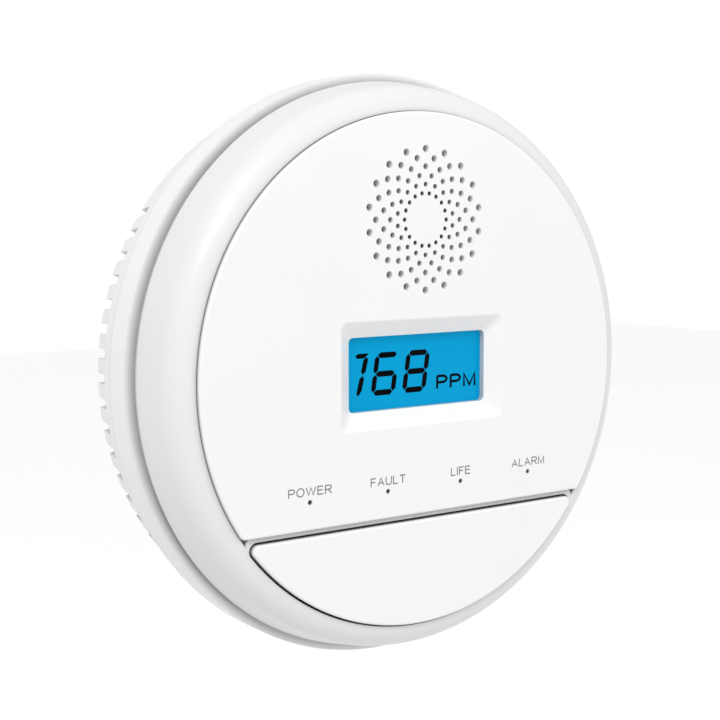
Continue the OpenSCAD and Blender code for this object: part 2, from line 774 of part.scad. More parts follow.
// Three cells, the middle one turned round
module battery_cells() {
    color("darkorange") on_wall() for (i = [-1:1]) translate([0, i * cell_pitch, cell_z])
        mirror([i == 0 ? 1 : 0, 0, 0]) rotate([0, 90, 0]) translate([0, 0, cell_x0 - cell_len]) {
            cylinder(r = cell_d / 2, h = cell_len - nipple_h);
            cylinder(r = nipple_r, h = cell_len);
        }
}

// Conical spring: its radius shrinks from the plate towards the cell
function spring_path() =
    [for (i = [0:spring_turns * spring_steps])
        let (t = i / (spring_turns * spring_steps), a = 360 * i / spring_steps)
        let (r = spring_r - spring_shrink * t)
        [spring_wire + (spring_len - 2 * spring_wire - fit) * t, r * cos(a), r * sin(a)]];

module battery_springs() {
    color("silver") on_wall() for (i = [-1:1]) mirror([i == 0 ? 1 : 0, 0, 0])
        translate([cell_x0 - cell_len - spring_len, i * cell_pitch, cell_z])
            wire(spring_path(), spring_wire, 6);
}

// Rows at which a contact's tab goes through to the board: the battery's two free ends
function tab_rows(s) = s > 0 ? [cell_pitch] : [-cell_pitch];

// Contact plates at both ends, two of them bridging neighbouring cells
module battery_contacts() {
    color("silver") on_wall() for (s = [-1, 1]) translate([s * contact_x, 0, 0]) {
        for (y = tab_rows(s)) translate([0, y, 0]) {
            block(contact_t, cell_d - 2, contact_z, contact_h);
            block(contact_t, tab_w, cell_z, board_z - cell_z);
        }
        translate([0, -s * cell_pitch / 2, 0])
            block(contact_t, cell_pitch + cell_d - 2, contact_z, contact_h);
    }
}

// Pan-head screw with a cross recess, head towards the wall
module pan_screw(head_d, head_h, shank_d, tip_z, head_z) {
    difference() {
        rod(head_d / 2, head_z, head_h);
        for (a = [0, 90]) rotate([0, 0, a]) block(head_d * 0.6, head_d * 0.16, head_z - 1, 1.6);
    }
    rod(shank_d / 2, head_z + head_h, tip_z - head_z - head_h);
}

module case_screws() {
    color("silver") on_wall() for (p = case_posts) translate(p)
        pan_screw(case_head_d, case_head_h, screw_d, case_tip_z, case_head_z);
}

module board_screws() {
    color("silver") on_wall() for (p = board_posts) translate(p)
        pan_screw(board_head_d, board_head_h, board_screw_d, board_tip_z, board_z - board_head_h);
}

mounting_plate();
rear_housing();
front_cover();
face_plate();
speaker_cloth();
lcd_glass();
lcd_light_guide();
lcd_holder();
lcd_pins();
light_pipes();
indicator_leds();
main_board();
controller_chip();
controller_legs();
board_resistors();
board_capacitors();
step_up_coil();
sounder_case();
piezo_plate();
piezo_ceramic();
sounder_leads();
sensor_can();
sensor_cap();
sensor_pins();
sensor_screen();
switch_body();
switch_plunger();
test_button();
battery_door();
rating_label();
battery_cells();
battery_springs();
battery_contacts();
case_screws();
board_screws();
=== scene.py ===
"""Looks of a round wall-mounted carbon monoxide detector, dressed and refined around its CAD parts.

Every shape is worked out lying on its back, in millimetres: x to the right, y up the wall and z out of
the wall. to_row() stands it up in metres, with the wall at Y = 0 and the front towards -Y.
"""

import sys
import logging
import math
from dataclasses import dataclass, field
from enum import Enum
from typing import Callable, Sequence

import bmesh
import bpy
import numpy as np
from mathutils import Matrix, Vector


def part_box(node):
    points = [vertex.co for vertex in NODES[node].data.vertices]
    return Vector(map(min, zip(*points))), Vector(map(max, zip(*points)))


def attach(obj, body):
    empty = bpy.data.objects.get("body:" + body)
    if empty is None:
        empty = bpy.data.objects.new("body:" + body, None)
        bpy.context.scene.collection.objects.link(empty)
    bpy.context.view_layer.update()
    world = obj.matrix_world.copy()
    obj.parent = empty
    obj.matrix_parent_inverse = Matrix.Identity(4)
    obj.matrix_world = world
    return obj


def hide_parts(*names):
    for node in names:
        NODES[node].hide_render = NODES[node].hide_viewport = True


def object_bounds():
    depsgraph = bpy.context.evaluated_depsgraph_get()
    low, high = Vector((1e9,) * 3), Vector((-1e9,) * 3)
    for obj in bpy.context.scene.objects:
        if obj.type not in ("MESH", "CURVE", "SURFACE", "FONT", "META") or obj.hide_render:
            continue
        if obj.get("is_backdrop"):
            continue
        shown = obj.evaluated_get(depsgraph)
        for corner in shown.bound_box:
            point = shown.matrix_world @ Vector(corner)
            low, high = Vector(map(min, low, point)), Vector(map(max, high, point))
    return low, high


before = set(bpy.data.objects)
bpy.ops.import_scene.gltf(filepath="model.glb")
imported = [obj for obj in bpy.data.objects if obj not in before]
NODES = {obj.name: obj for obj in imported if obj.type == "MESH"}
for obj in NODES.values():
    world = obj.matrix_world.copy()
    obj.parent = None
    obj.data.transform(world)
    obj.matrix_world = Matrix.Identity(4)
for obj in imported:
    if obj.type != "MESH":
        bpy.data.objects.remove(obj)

LOG = logging.getLogger("detector")
MM = 0.001
WELD = 2e-6


# ---------------------------------------------------------------- shapes as arrays

def to_row(points: np.ndarray) -> np.ndarray:
    """Stands points up on the wall: (x, y, z) in millimetres becomes (x, -z, y) in metres.

    Args:
        points: Array whose last axis is x, y, z.

    Returns:
        Array of the same shape, in the row frame.
    """
    return np.stack([points[..., 0], -points[..., 2], points[..., 1]], axis=-1) * MM


def arc(cx: float, cy: float, r: float, a0: float, a1: float, n: int) -> np.ndarray:
    """Points along a circular arc: centre plus r times (cos a, sin a), with a running from a0 to a1.

    Args:
        cx: Centre, first coordinate.
        cy: Centre, second coordinate.
        r: Radius.
        a0: First angle in degrees.
        a1: Last angle in degrees.
        n: Number of steps.

    Returns:
        Array of n + 1 points.
    """
    a = np.radians(np.linspace(a0, a1, n + 1))
    return np.stack([cx + r * np.cos(a), cy + r * np.sin(a)], axis=-1)


def cap_outline(r: float, chord: float, k: float, n: int = 160) -> np.ndarray:
    """Outline of the part of a disc above a chord: one long arc closed by two corner arcs of radius k.

    Args:
        r: Radius of the disc.
        chord: Height of the chord, negative below the centre.
        k: Corner radius.
        n: Steps along the long arc.

    Returns:
        Closed loop of points, anticlockwise, without a repeated end.
    """
    cy = chord + k
    cx = math.sqrt((r - k) ** 2 - cy ** 2)
    a = math.degrees(math.atan2(cy, cx))
    return np.concatenate([
        arc(0, 0, r, a, 180 - a, n)[:-1],
        arc(-cx, cy, k, 180 - a, 270, 12)[:-1],
        [[-cx, chord]],
        arc(cx, cy, k, 270, 360 + a, 12)[:-1],
    ])


def lower_cap_outline(r: float, drop: float, k: float, n: int = 160) -> np.ndarray:
    """Outline of the part of a disc below the chord at -drop: cap_outline turned upside down.

    Args:
        r: Radius of the disc.
        drop: Distance from the centre down to the chord.
        k: Corner radius.
        n: Steps along the long arc.

    Returns:
        Closed loop of points, anticlockwise.
    """
    return (cap_outline(r, drop, k, n) * [1, -1])[::-1]


def rect_outline(w: float, h: float, k: float, n: int = 8) -> np.ndarray:
    """Outline of a rectangle with rounded corners: four quarter circles joined by straight edges.

    Args:
        w: Width.
        h: Height.
        k: Corner radius.
        n: Steps in each corner.

    Returns:
        Closed loop of points, anticlockwise.
    """
    signs = ((1, 1, 0), (-1, 1, 90), (-1, -1, 180), (1, -1, 270))
    return np.concatenate([arc(sx * (w / 2 - k), sy * (h / 2 - k), k, a, a + 90, n) for sx, sy, a in signs])


def soften(points: np.ndarray, reach: Sequence[float], steps: int = 4) -> np.ndarray:
    """Rounds the corners of a closed loop with parabolas.

    Each corner P becomes (1-t)^2 A + 2t(1-t) P + t^2 C, where A and C lie at the corner's reach from P along
    its two edges and t runs from 0 to 1.

    Args:
        points: Closed loop of corners.
        reach: Reach of each corner.
        steps: Steps along each corner.

    Returns:
        The rounded loop.
    """
    back, ahead = np.roll(points, 1, axis=0) - points, np.roll(points, -1, axis=0) - points
    size = np.asarray(reach, float)[:, None]
    a = points + size * back / np.linalg.norm(back, axis=1, keepdims=True)
    c = points + size * ahead / np.linalg.norm(ahead, axis=1, keepdims=True)
    t = np.linspace(0, 1, steps + 1)[None, :, None]
    curve = (1 - t) ** 2 * a[:, None] + 2 * t * (1 - t) * points[:, None] + t ** 2 * c[:, None]
    return curve.reshape(-1, 2)


def loop_normals(loop: np.ndarray) -> np.ndarray:
    """Outward unit normals of an anticlockwise loop: the chord between a point's neighbours, turned right.

    Args:
        loop: Closed loop of points.

    Returns:
        One unit normal for each point.
    """
    d = np.roll(loop, -1, axis=0) - np.roll(loop, 1, axis=0)
    n = np.stack([d[:, 1], -d[:, 0]], axis=-1)
    return n / np.linalg.norm(n, axis=1, keepdims=True)


def grid_faces(rows: int, cols: int, wrap_rows: bool) -> np.ndarray:
    """Quads of a grid of points whose columns close round, and whose rows may close too.

    Args:
        rows: Number of rows.
        cols: Number of columns.
        wrap_rows: Whether the last row joins the first.

    Returns:
        Array of quads.
    """
    i = np.arange(rows if wrap_rows else rows - 1)[:, None]
    j = np.arange(cols)[None, :]
    below, right = (i + 1) % rows, (j + 1) % cols
    quads = np.stack([i * cols + j, i * cols + right, below * cols + right, below * cols + j], -1)
    return quads.reshape(-1, 4)


def make_object(name: str, verts: np.ndarray, faces: Sequence[Sequence[int]]) -> bpy.types.Object:
    """Puts points and faces into a new closed mesh whose faces point outwards, stood up by to_row().

    Args:
        name: Name of the piece.
        verts: Array of points, lying on their back in millimetres.
        faces: Lists of point numbers.

    Returns:
        The new object, at the origin.
    """
    mesh = bpy.data.meshes.new(name)
    mesh.from_pydata(to_row(verts).tolist(), [], [list(f) for f in faces])
    obj = bpy.data.objects.new(name, mesh)
    bpy.context.scene.collection.objects.link(obj)
    weld(obj)
    return obj


def weld(obj: bpy.types.Object) -> None:
    """Merges doubled points and turns every face outwards.

    Args:
        obj: Piece to clean.
    """
    bm = bmesh.new()
    bm.from_mesh(obj.data)
    bmesh.ops.remove_doubles(bm, verts=bm.verts, dist=WELD)
    bmesh.ops.dissolve_degenerate(bm, edges=bm.edges, dist=WELD)
    bmesh.ops.recalc_face_normals(bm, faces=bm.faces)
    bm.to_mesh(obj.data)
    bm.free()


def lathe(name: str, profile: np.ndarray, segments: int = 192,
          at: Sequence[float] = (0, 0)) -> bpy.types.Object:
    """Turns a closed profile round an upright axis: (r, z) becomes (x0 + r cos a, y0 + r sin a, z).

    Args:
        name: Name of the piece.
        profile: Closed loop of (r, z).
        segments: Steps round the axis.
        at: Place of the axis.

    Returns:
        The turned solid.
    """
    a = np.linspace(0, 2 * math.pi, segments, endpoint=False)[None, :]
    r, z = profile[:, :1], profile[:, 1:]
    points = np.stack([at[0] + r * np.cos(a), at[1] + r * np.sin(a), z + 0 * a], axis=-1).reshape(-1, 3)
    quads = grid_faces(len(profile), segments, True)
    off_axis = np.repeat(profile[:, 0] > 0, segments)[quads].any(axis=1)
    return make_object(name, points, quads[off_axis])


def prism(name: str, outline: np.ndarray, section: Sequence[Sequence[float]],
          at: Sequence[float] = (0, 0)) -> bpy.types.Object:
    """Carries a section round an outline.

    Ring k is the outline moved inwards by section[k][0], at height section[k][1].

    Args:
        name: Name of the piece.
        outline: Closed loop, anticlockwise.
        section: Pairs of inward offset and height, from the bottom to the top.
        at: Place of the outline's centre.

    Returns:
        The solid, closed by a flat face at each end.
    """
    rows = np.asarray(section, float)
    normals = loop_normals(outline)
    rings = outline[None] - rows[:, :1, None] * normals[None] + np.asarray(at, float)
    heights = np.broadcast_to(rows[:, 1:, None], rings.shape[:2] + (1,))
    points = np.concatenate([rings, heights], axis=-1).reshape(-1, 3)
    n, k = len(outline), len(rows)
    faces = grid_faces(k, n, False).tolist() + [list(range(n)), list(range((k - 1) * n, k * n))]
    return make_object(name, points, faces)


def round_edge(z0: float, z1: float, low: float, high: float, steps: int = 5) -> np.ndarray:
    """Section of a wall from z0 up to z1 with quarter-round edges.

    Args:
        z0: Bottom height.
        z1: Top height.
        low: Radius of the bottom edge.
        high: Radius of the top edge.
        steps: Steps in each edge.

    Returns:
        Pairs of inward offset and height: r (1 - cos a) inwards, while the height runs r (1 - sin a) from
        the end.
    """
    a = np.radians(np.linspace(90, 0, steps + 1))
    bottom = np.stack([low * (1 - np.cos(a)), z0 + low * (1 - np.sin(a))], -1)
    top = np.stack([high * (1 - np.cos(a[::-1])), z1 - high * (1 - np.sin(a[::-1]))], -1)
    return np.concatenate([bottom, top])


def rods(name: str, centres: np.ndarray, rows: np.ndarray, sides: int = 32) -> bpy.types.Object:
    """Many turned pegs in one mesh: peg m has the rings (rows[m, k, 0], rows[m, k, 1]) of radius and height.

    Args:
        name: Name of the piece.
        centres: Axis of each peg.
        rows: Radius and height of each ring of each peg, from the bottom to the top.
        sides: Sides of each peg.

    Returns:
        The pegs, each closed by a flat face at each end.
    """
    count, rings = rows.shape[:2]
    a = np.linspace(0, 2 * math.pi, sides, endpoint=False)
    turn = np.stack([np.cos(a), np.sin(a)], -1)
    flat = centres[:, None, None] + rows[:, :, None, :1] * turn
    height = np.broadcast_to(rows[:, :, None, 1:], flat.shape[:3] + (1,))
    points = np.concatenate([flat, height], -1).reshape(-1, 3)
    start = (np.arange(count) * rings * sides)[:, None, None]
    quads = (grid_faces(rings, sides, False)[None] + start).reshape(-1, 4).tolist()
    ends = np.stack([np.arange(sides), np.arange(sides) + (rings - 1) * sides])[None] + start
    return make_object(name, points, quads + ends.reshape(-1, sides).tolist())


def straight(radius: float, z0: float, z1: float) -> np.ndarray:
    """Rings of one plain peg, for rods().

    Args:
        radius: Radius of the peg.
        z0: Its bottom.
        z1: Its top.

    Returns:
        Array of one peg with two rings.
    """
    return np.array([[[radius, z0], [radius, z1]]], float)


# ---------------------------------------------------------------- joining and cutting

def combine(target: bpy.types.Object, tool: bpy.types.Object, how: str) -> None:
    """Cuts a tool from a target or fuses it on, then removes the tool.

    Args:
        target: Solid that changes.
        tool: Solid that is used up.
        how: DIFFERENCE or UNION.
    """
    modifier = target.modifiers.new("combine", "BOOLEAN")
    modifier.operation = how
    modifier.solver = "EXACT"
    modifier.object = tool
    bake(target)
    bpy.data.objects.remove(tool, do_unlink=True)


def bake(obj: bpy.types.Object) -> None:
    """Applies every modifier of a piece.

    Args:
        obj: Piece with live modifiers.
    """
    graph = bpy.context.evaluated_depsgraph_get()
    mesh = bpy.data.meshes.new_from_object(obj.evaluated_get(graph))
    old = obj.data
    obj.modifiers.clear()
    obj.data = mesh
    mesh.name = obj.name
    bpy.data.meshes.remove(old)


def join(target: bpy.types.Object, *others: bpy.types.Object) -> None:
    """Adds other shells to a target's mesh and removes their objects.

    Args:
        target: Piece that keeps its name.
        others: Pieces that are used up.
    """
    bm = bmesh.new()
    bm.from_mesh(target.data)
    for other in others:
        bm.from_mesh(other.data)
        bpy.data.objects.remove(other, do_unlink=True)
    bm.to_mesh(target.data)
    bm.free()


def smooth(obj: bpy.types.Object, angle: float = 32) -> None:
    """Smooths shallow edges, keeps sharp ones, and weighs normals by face so that flats stay flat.

    Args:
        obj: Piece to shade.
        angle: Edges steeper than this many degrees stay sharp.
    """
    mesh = obj.data
    mesh.polygons.foreach_set("use_smooth", np.ones(len(mesh.polygons), bool))
    mesh.set_sharp_from_angle(angle=math.radians(angle))
    modifier = obj.modifiers.new("normals", "WEIGHTED_NORMAL")
    modifier.keep_sharp = True
    modifier.weight = 80
    bake(obj)


# ---------------------------------------------------------------- finishes

class Pattern(Enum):
    """The fine structure that a finish carries."""

    MOULDED = "fine spark-eroded grain"
    POLISHED = "smooth moulding with a faint ripple"
    BRUSHED = "drawn or rolled metal"
    WOVEN = "woven cloth"
    BOARD = "solder mask over tracks"
    CASTING = "pressed powder"
    SLEEVE = "printed shrink sleeve"
    PAPER = "blank paper label"
    BACKLIGHT = "lit display"


@dataclass(frozen=True)
class Finish:
    """One surface finish: two close colours, a gloss range and a fine structure.

    The colours are linear. The second one shows in soft patches, and the structure gives the bump.
    """

    name: str
    pattern: Pattern
    colour: tuple[float, float, float]
    second: tuple[float, float, float]
    rough: tuple[float, float] = (0.35, 0.45)
    metallic: float = 0.0
    patch_mm: float = 14.0
    grain_mm: float = 0.35
    relief: float = 0.06
    edge_mm: float = 0.0
    coat: float = 0.0
    transmission: float = 0.0
    ior: float = 1.47
    glow: float = 0.0
    # Painted shade: near other surfaces the colour greys towards this grey, within this reach in millimetres.
    corner_shade_mm: float = 0.0
    corner_shade: tuple[float, float, float] = (0.40, 0.40, 0.41)

    def build(self) -> bpy.types.Material:
        """Makes the node material.

        Returns:
            The material, or the one made before under the same name.
        """
        known = bpy.data.materials.get(self.name)
        if known:
            return known
        material = bpy.data.materials.new(self.name)
        material.use_nodes = True
        tree = material.node_tree
        shader = tree.nodes["Principled BSDF"]
        shader.inputs["Metallic"].default_value = self.metallic
        shader.inputs["IOR"].default_value = self.ior
        shader.inputs["Coat Weight"].default_value = self.coat
        shader.inputs["Coat Roughness"].default_value = 0.06
        shader.inputs["Transmission Weight"].default_value = self.transmission
        self._wire(tree, shader)
        return material

    def _wire(self, tree: bpy.types.NodeTree, shader: bpy.types.Node) -> None:
        """Links colour, gloss and bump.

        Args:
            tree: Node tree of the material.
            shader: Its Principled shader.
        """
        place = tree.nodes.new("ShaderNodeTexCoord").outputs["Object"]
        patches = self._noise(tree, place, self.patch_mm, 3.0)
        structure = self._structure(tree, place)
        ramp = tree.nodes.new("ShaderNodeMapRange")
        ramp.inputs["From Min"].default_value = 0.35
        ramp.inputs["From Max"].default_value = 0.65
        tree.links.new(patches, ramp.inputs["Value"])
        mask = structure if self.pattern in PRINTED else ramp.outputs["Result"]
        mix = tree.nodes.new("ShaderNodeMix")
        mix.data_type = "RGBA"
        mix.inputs[6].default_value = (*self.colour, 1)
        mix.inputs[7].default_value = (*self.second, 1)
        tree.links.new(mask, mix.inputs[0])
        # Painted shade: the colour greys in corners, read from an ambient occlusion node.
        colour = self._corner_shades(tree, mix.outputs[2]) if self.corner_shade_mm else mix.outputs[2]
        tree.links.new(colour, shader.inputs["Base Color"])
        if self.glow:
            tree.links.new(mix.outputs[2], shader.inputs["Emission Color"])
            shader.inputs["Emission Strength"].default_value = self.glow
        gloss = tree.nodes.new("ShaderNodeMapRange")
        gloss.inputs["To Min"].default_value = self.rough[0]
        gloss.inputs["To Max"].default_value = self.rough[1]
        tree.links.new(self._noise(tree, place, self.grain_mm * 4, 2.0), gloss.inputs["Value"])
        tree.links.new(gloss.outputs["Result"], shader.inputs["Roughness"])
        bump = tree.nodes.new("ShaderNodeBump")
        bump.inputs["Strength"].default_value = self.relief
        bump.inputs["Distance"].default_value = 0.0002
        tree.links.new(structure, bump.inputs["Height"])
        if self.edge_mm:
            bevel = tree.nodes.new("ShaderNodeBevel")
            bevel.samples = 6
            bevel.inputs["Radius"].default_value = self.edge_mm * MM
            tree.links.new(bevel.outputs["Normal"], bump.inputs["Normal"])
        tree.links.new(bump.outputs["Normal"], shader.inputs["Normal"])

    def _corner_shades(self, tree: bpy.types.NodeTree, colour: bpy.types.NodeSocket) -> bpy.types.NodeSocket:
        """Paints shade into the colour: greys it in narrow corners, gaps and creases, where shade falls.

        Args:
            tree: Node tree.
            colour: Colour in the open.

        Returns:
            The colour with painted shade in its corners.
        """
        open_sky = tree.nodes.new("ShaderNodeAmbientOcclusion")
        open_sky.samples = 8
        open_sky.inputs["Distance"].default_value = self.corner_shade_mm * MM
        level = tree.nodes.new("ShaderNodeMapRange")
        level.inputs["From Min"].default_value = 0.4
        level.inputs["From Max"].default_value = 1.0
        tree.links.new(open_sky.outputs["AO"], level.inputs["Value"])
        mix = tree.nodes.new("ShaderNodeMix")
        mix.data_type = "RGBA"
        mix.inputs[6].default_value = (*self.corner_shade, 1)
        tree.links.new(colour, mix.inputs[7])
        tree.links.new(level.outputs["Result"], mix.inputs[0])
        return mix.outputs[2]

    @staticmethod
    def _noise(tree: bpy.types.NodeTree, place: bpy.types.NodeSocket, size_mm: float, detail: float,
               stretch: tuple[float, float, float] = (1, 1, 1)) -> bpy.types.NodeSocket:
        """Adds a noise pattern.

        Args:
            tree: Node tree.
            place: Coordinates that the pattern reads.
            size_mm: Size of one blotch.
            detail: Octaves.
            stretch: Stretch of the coordinates along each axis.

        Returns:
            The pattern's value.
        """
        mapping = tree.nodes.new("ShaderNodeMapping")
        mapping.inputs["Scale"].default_value = stretch
        tree.links.new(place, mapping.inputs["Vector"])
        noise = tree.nodes.new("ShaderNodeTexNoise")
        noise.inputs["Scale"].default_value = 1 / (size_mm * MM)
        noise.inputs["Detail"].default_value = detail
        noise.inputs["Roughness"].default_value = 0.55
        tree.links.new(mapping.outputs["Vector"], noise.inputs["Vector"])
        return noise.outputs["Fac"]

    def _structure(self, tree: bpy.types.NodeTree, place: bpy.types.NodeSocket) -> bpy.types.NodeSocket:
        """Adds the fine structure that the pattern names.

        Args:
            tree: Node tree.
            place: Coordinates that the structure reads.

        Returns:
            The structure's height, which is also the print's mask on printed finishes.
        """
        if self.pattern is Pattern.WOVEN:
            return self._weave(tree, place)
        if self.pattern is Pattern.BRUSHED:
            return self._noise(tree, place, self.grain_mm, 3.0, (1, 1, 0.08))
        if self.pattern is Pattern.BOARD:
            return self._cells(tree, place, 0.62, 0.7)
        if self.pattern is Pattern.SLEEVE:
            return self._bands(tree, place)
        if self.pattern is Pattern.CASTING:
            return self._cells(tree, place, 0.0, 1.0)
        if self.pattern is Pattern.PAPER:
            return self._noise(tree, place, self.grain_mm, 4.0, (1, 1, 0.3))
        return self._noise(tree, place, self.grain_mm, 2.5)

    def _weave(self, tree: bpy.types.NodeTree, place: bpy.types.NodeSocket) -> bpy.types.NodeSocket:
        """Threads over and under: the greater of two sine waves, one along x and one along z.

        Args:
            tree: Node tree.
            place: Coordinates that the weave reads.

        Returns:
            Height of the threads.
        """
        waves = []
        for axis in ("X", "Z"):
            wave = tree.nodes.new("ShaderNodeTexWave")
            wave.bands_direction = axis
            wave.inputs["Scale"].default_value = 0.314 / (self.grain_mm * MM)
            tree.links.new(place, wave.inputs["Vector"])
            waves.append(wave.outputs["Fac"])
        top = tree.nodes.new("ShaderNodeMath")
        top.operation = "MAXIMUM"
        tree.links.new(waves[0], top.inputs[0])
        tree.links.new(waves[1], top.inputs[1])
        return top.outputs["Value"]

    def _cells(self, tree: bpy.types.NodeTree, place: bpy.types.NodeSocket, low: float,
               high: float) -> bpy.types.NodeSocket:
        """Voronoi cells read between two levels, which gives specks or a net of lines.

        Args:
            tree: Node tree.
            place: Coordinates that the cells read.
            low: Level read as 0.
            high: Level read as 1.

        Returns:
            Value from 0 to 1.
        """
        cells = tree.nodes.new("ShaderNodeTexVoronoi")
        cells.distance = "MANHATTAN"
        cells.inputs["Scale"].default_value = 1 / (self.grain_mm * MM)
        tree.links.new(place, cells.inputs["Vector"])
        level = tree.nodes.new("ShaderNodeMapRange")
        level.inputs["From Min"].default_value = low
        level.inputs["From Max"].default_value = high
        tree.links.new(cells.outputs["Distance"], level.inputs["Value"])
        return level.outputs["Result"]

    def _bands(self, tree: bpy.types.NodeTree, place: bpy.types.NodeSocket) -> bpy.types.NodeSocket:
        """Broad printed bands across x: one sine wave along x read as a step.

        Args:
            tree: Node tree.
            place: Coordinates that the bands read.

        Returns:
            1 in a band and 0 between bands.
        """
        wave = tree.nodes.new("ShaderNodeTexWave")
        wave.bands_direction = "X"
        wave.inputs["Scale"].default_value = 0.314 / (self.grain_mm * MM)
        tree.links.new(place, wave.inputs["Vector"])
        step = tree.nodes.new("ShaderNodeMapRange")
        step.inputs["From Min"].default_value = 0.58
        step.inputs["From Max"].default_value = 0.62
        tree.links.new(wave.outputs["Fac"], step.inputs["Value"])
        return step.outputs["Result"]


PRINTED = (Pattern.WOVEN, Pattern.BOARD, Pattern.SLEEVE, Pattern.CASTING)
WHITE = (0.93, 0.93, 0.93)
# The next two carry painted shade: their colour greys in creases and corners near other surfaces.
SHELL = Finish("case_white", Pattern.MOULDED, (0.83, 0.83, 0.835), (0.82, 0.821, 0.827), (0.30, 0.40),
               relief=0.05, grain_mm=0.18, corner_shade_mm=5.0, corner_shade=(0.50, 0.50, 0.505))
SHELL_CAD = Finish("case_white_rear", Pattern.MOULDED, WHITE, (0.915, 0.917, 0.92), (0.34, 0.44),
                   relief=0.06, grain_mm=0.18, edge_mm=0.3, corner_shade_mm=2.0)
# Painted shade: the panel's colour greys darkly in its narrow gaps, well walls and hole rims.
PANEL = Finish("panel_white", Pattern.POLISHED, (0.93, 0.93, 0.93), (0.922, 0.923, 0.924), (0.24, 0.32),
               relief=0.02, grain_mm=0.5, corner_shade_mm=0.8, corner_shade=(0.22, 0.22, 0.22))
# Grey of the painted shade laid in the groove between the case halves.
JOINT_SHADE = Finish("joint_painted_shade_grey", Pattern.MOULDED, (0.66, 0.66, 0.665), (0.70, 0.70, 0.705), (0.55, 0.7),
              relief=0.15, grain_mm=0.25)
BRACKET = Finish("bracket_white", Pattern.MOULDED, (0.80, 0.80, 0.79), (0.77, 0.77, 0.765), (0.45, 0.58),
                 relief=0.12, grain_mm=0.25, edge_mm=0.25)
DOOR = Finish("door_white", Pattern.MOULDED, (0.86, 0.86, 0.86), (0.84, 0.84, 0.842), (0.4, 0.52),
              relief=0.1, grain_mm=0.2, edge_mm=0.2)
INNER = Finish("inner_white", Pattern.MOULDED, (0.78, 0.78, 0.76), (0.74, 0.74, 0.72), (0.42, 0.55),
               relief=0.1, grain_mm=0.3, edge_mm=0.15)
BLACK = Finish("black_nylon", Pattern.MOULDED, (0.018, 0.018, 0.02), (0.026, 0.026, 0.028), (0.35, 0.5),
               relief=0.12, grain_mm=0.2, edge_mm=0.1)
CLEAR = Finish("light_pipe_clear", Pattern.POLISHED, (0.02, 0.021, 0.023), (0.03, 0.031, 0.034),
               (0.08, 0.16), relief=0.03, transmission=0.2, ior=1.49)
GUIDE = Finish("light_guide_opal", Pattern.POLISHED, (0.66, 0.80, 0.90), (0.60, 0.76, 0.88), (0.25, 0.35),
               relief=0.05)
CLOTH = Finish("dust_cloth", Pattern.WOVEN, (0.10, 0.10, 0.102), (0.17, 0.17, 0.173), (0.8, 0.95),
               grain_mm=0.22, relief=0.5)
LCD = Finish("display_blue", Pattern.BACKLIGHT, (0.0, 0.240, 0.460), (0.0, 0.229, 0.438), (0.16, 0.2),
             patch_mm=22, grain_mm=0.3, relief=0.01, coat=0.04, ior=1.12, glow=0.5)
INK = Finish("display_segment", Pattern.POLISHED, (0.002, 0.002, 0.003), (0.004, 0.004, 0.005),
             (0.4, 0.5), relief=0.02, ior=1.08)
PRINT = Finish("printed_grey", Pattern.PAPER, (0.20, 0.20, 0.205), (0.24, 0.24, 0.245), (0.5, 0.62),
               grain_mm=0.12, relief=0.05)
BOARD = Finish("solder_mask", Pattern.BOARD, (0.012, 0.16, 0.055), (0.03, 0.26, 0.10), (0.25, 0.4),
               grain_mm=2.2, relief=0.25, coat=0.4)
TIN = Finish("tinned_metal", Pattern.BRUSHED, (0.72, 0.72, 0.70), (0.62, 0.62, 0.61), (0.22, 0.36),
             metallic=1.0, grain_mm=0.25, relief=0.08)
ALUMINIUM = Finish("aluminium_can", Pattern.BRUSHED, (0.80, 0.80, 0.81), (0.70, 0.70, 0.72), (0.24, 0.38),
                   metallic=1.0, grain_mm=0.3, relief=0.1)
FERRITE = Finish("ferrite", Pattern.CASTING, (0.045, 0.042, 0.04), (0.075, 0.07, 0.066), (0.55, 0.75),
                 grain_mm=0.35, relief=0.3)
CHIP = Finish("chip_epoxy", Pattern.MOULDED, (0.02, 0.02, 0.022), (0.032, 0.032, 0.034), (0.5, 0.65),
              grain_mm=0.12, relief=0.25)
BRASS = Finish("brass_plate", Pattern.BRUSHED, (0.80, 0.56, 0.22), (0.70, 0.48, 0.19), (0.22, 0.38),
               metallic=1.0, grain_mm=0.35, relief=0.12)
CERAMIC = Finish("piezo_ceramic", Pattern.CASTING, (0.70, 0.70, 0.66), (0.78, 0.78, 0.75), (0.3, 0.5),
                 grain_mm=0.6, relief=0.12)
WIRE = Finish("wire_red", Pattern.POLISHED, (0.50, 0.02, 0.018), (0.58, 0.035, 0.028), (0.3, 0.42),
              grain_mm=0.3, relief=0.1)
LED = Finish("led_body", Pattern.POLISHED, (0.80, 0.72, 0.42), (0.86, 0.80, 0.55), (0.18, 0.3),
             grain_mm=0.3, relief=0.05, coat=0.5)
PAPER = Finish("blank_label", Pattern.PAPER, (0.82, 0.82, 0.80), (0.78, 0.78, 0.765), (0.42, 0.55),
               grain_mm=0.25, relief=0.12)
SLEEVE = Finish("cell_sleeve", Pattern.SLEEVE, (0.10, 0.10, 0.11), (0.62, 0.33, 0.10), (0.22, 0.32),
                grain_mm=19, relief=0.02, coat=0.5, metallic=0.2)
SPRING = Finish("spring_steel", Pattern.BRUSHED, (0.66, 0.66, 0.67), (0.56, 0.56, 0.57), (0.2, 0.34),
                metallic=1.0, grain_mm=0.2, relief=0.12)
SCREW = Finish("screw_zinc", Pattern.BRUSHED, (0.60, 0.60, 0.58), (0.50, 0.50, 0.48), (0.25, 0.42),
               metallic=1.0, grain_mm=0.3, relief=0.15, edge_mm=0.1)
FLOOR = Finish("studio_floor", Pattern.PAPER, (0.95, 0.95, 0.95), (0.94, 0.94, 0.94), (0.8, 0.9),
               patch_mm=400, grain_mm=40, relief=0.01, glow=0.28)

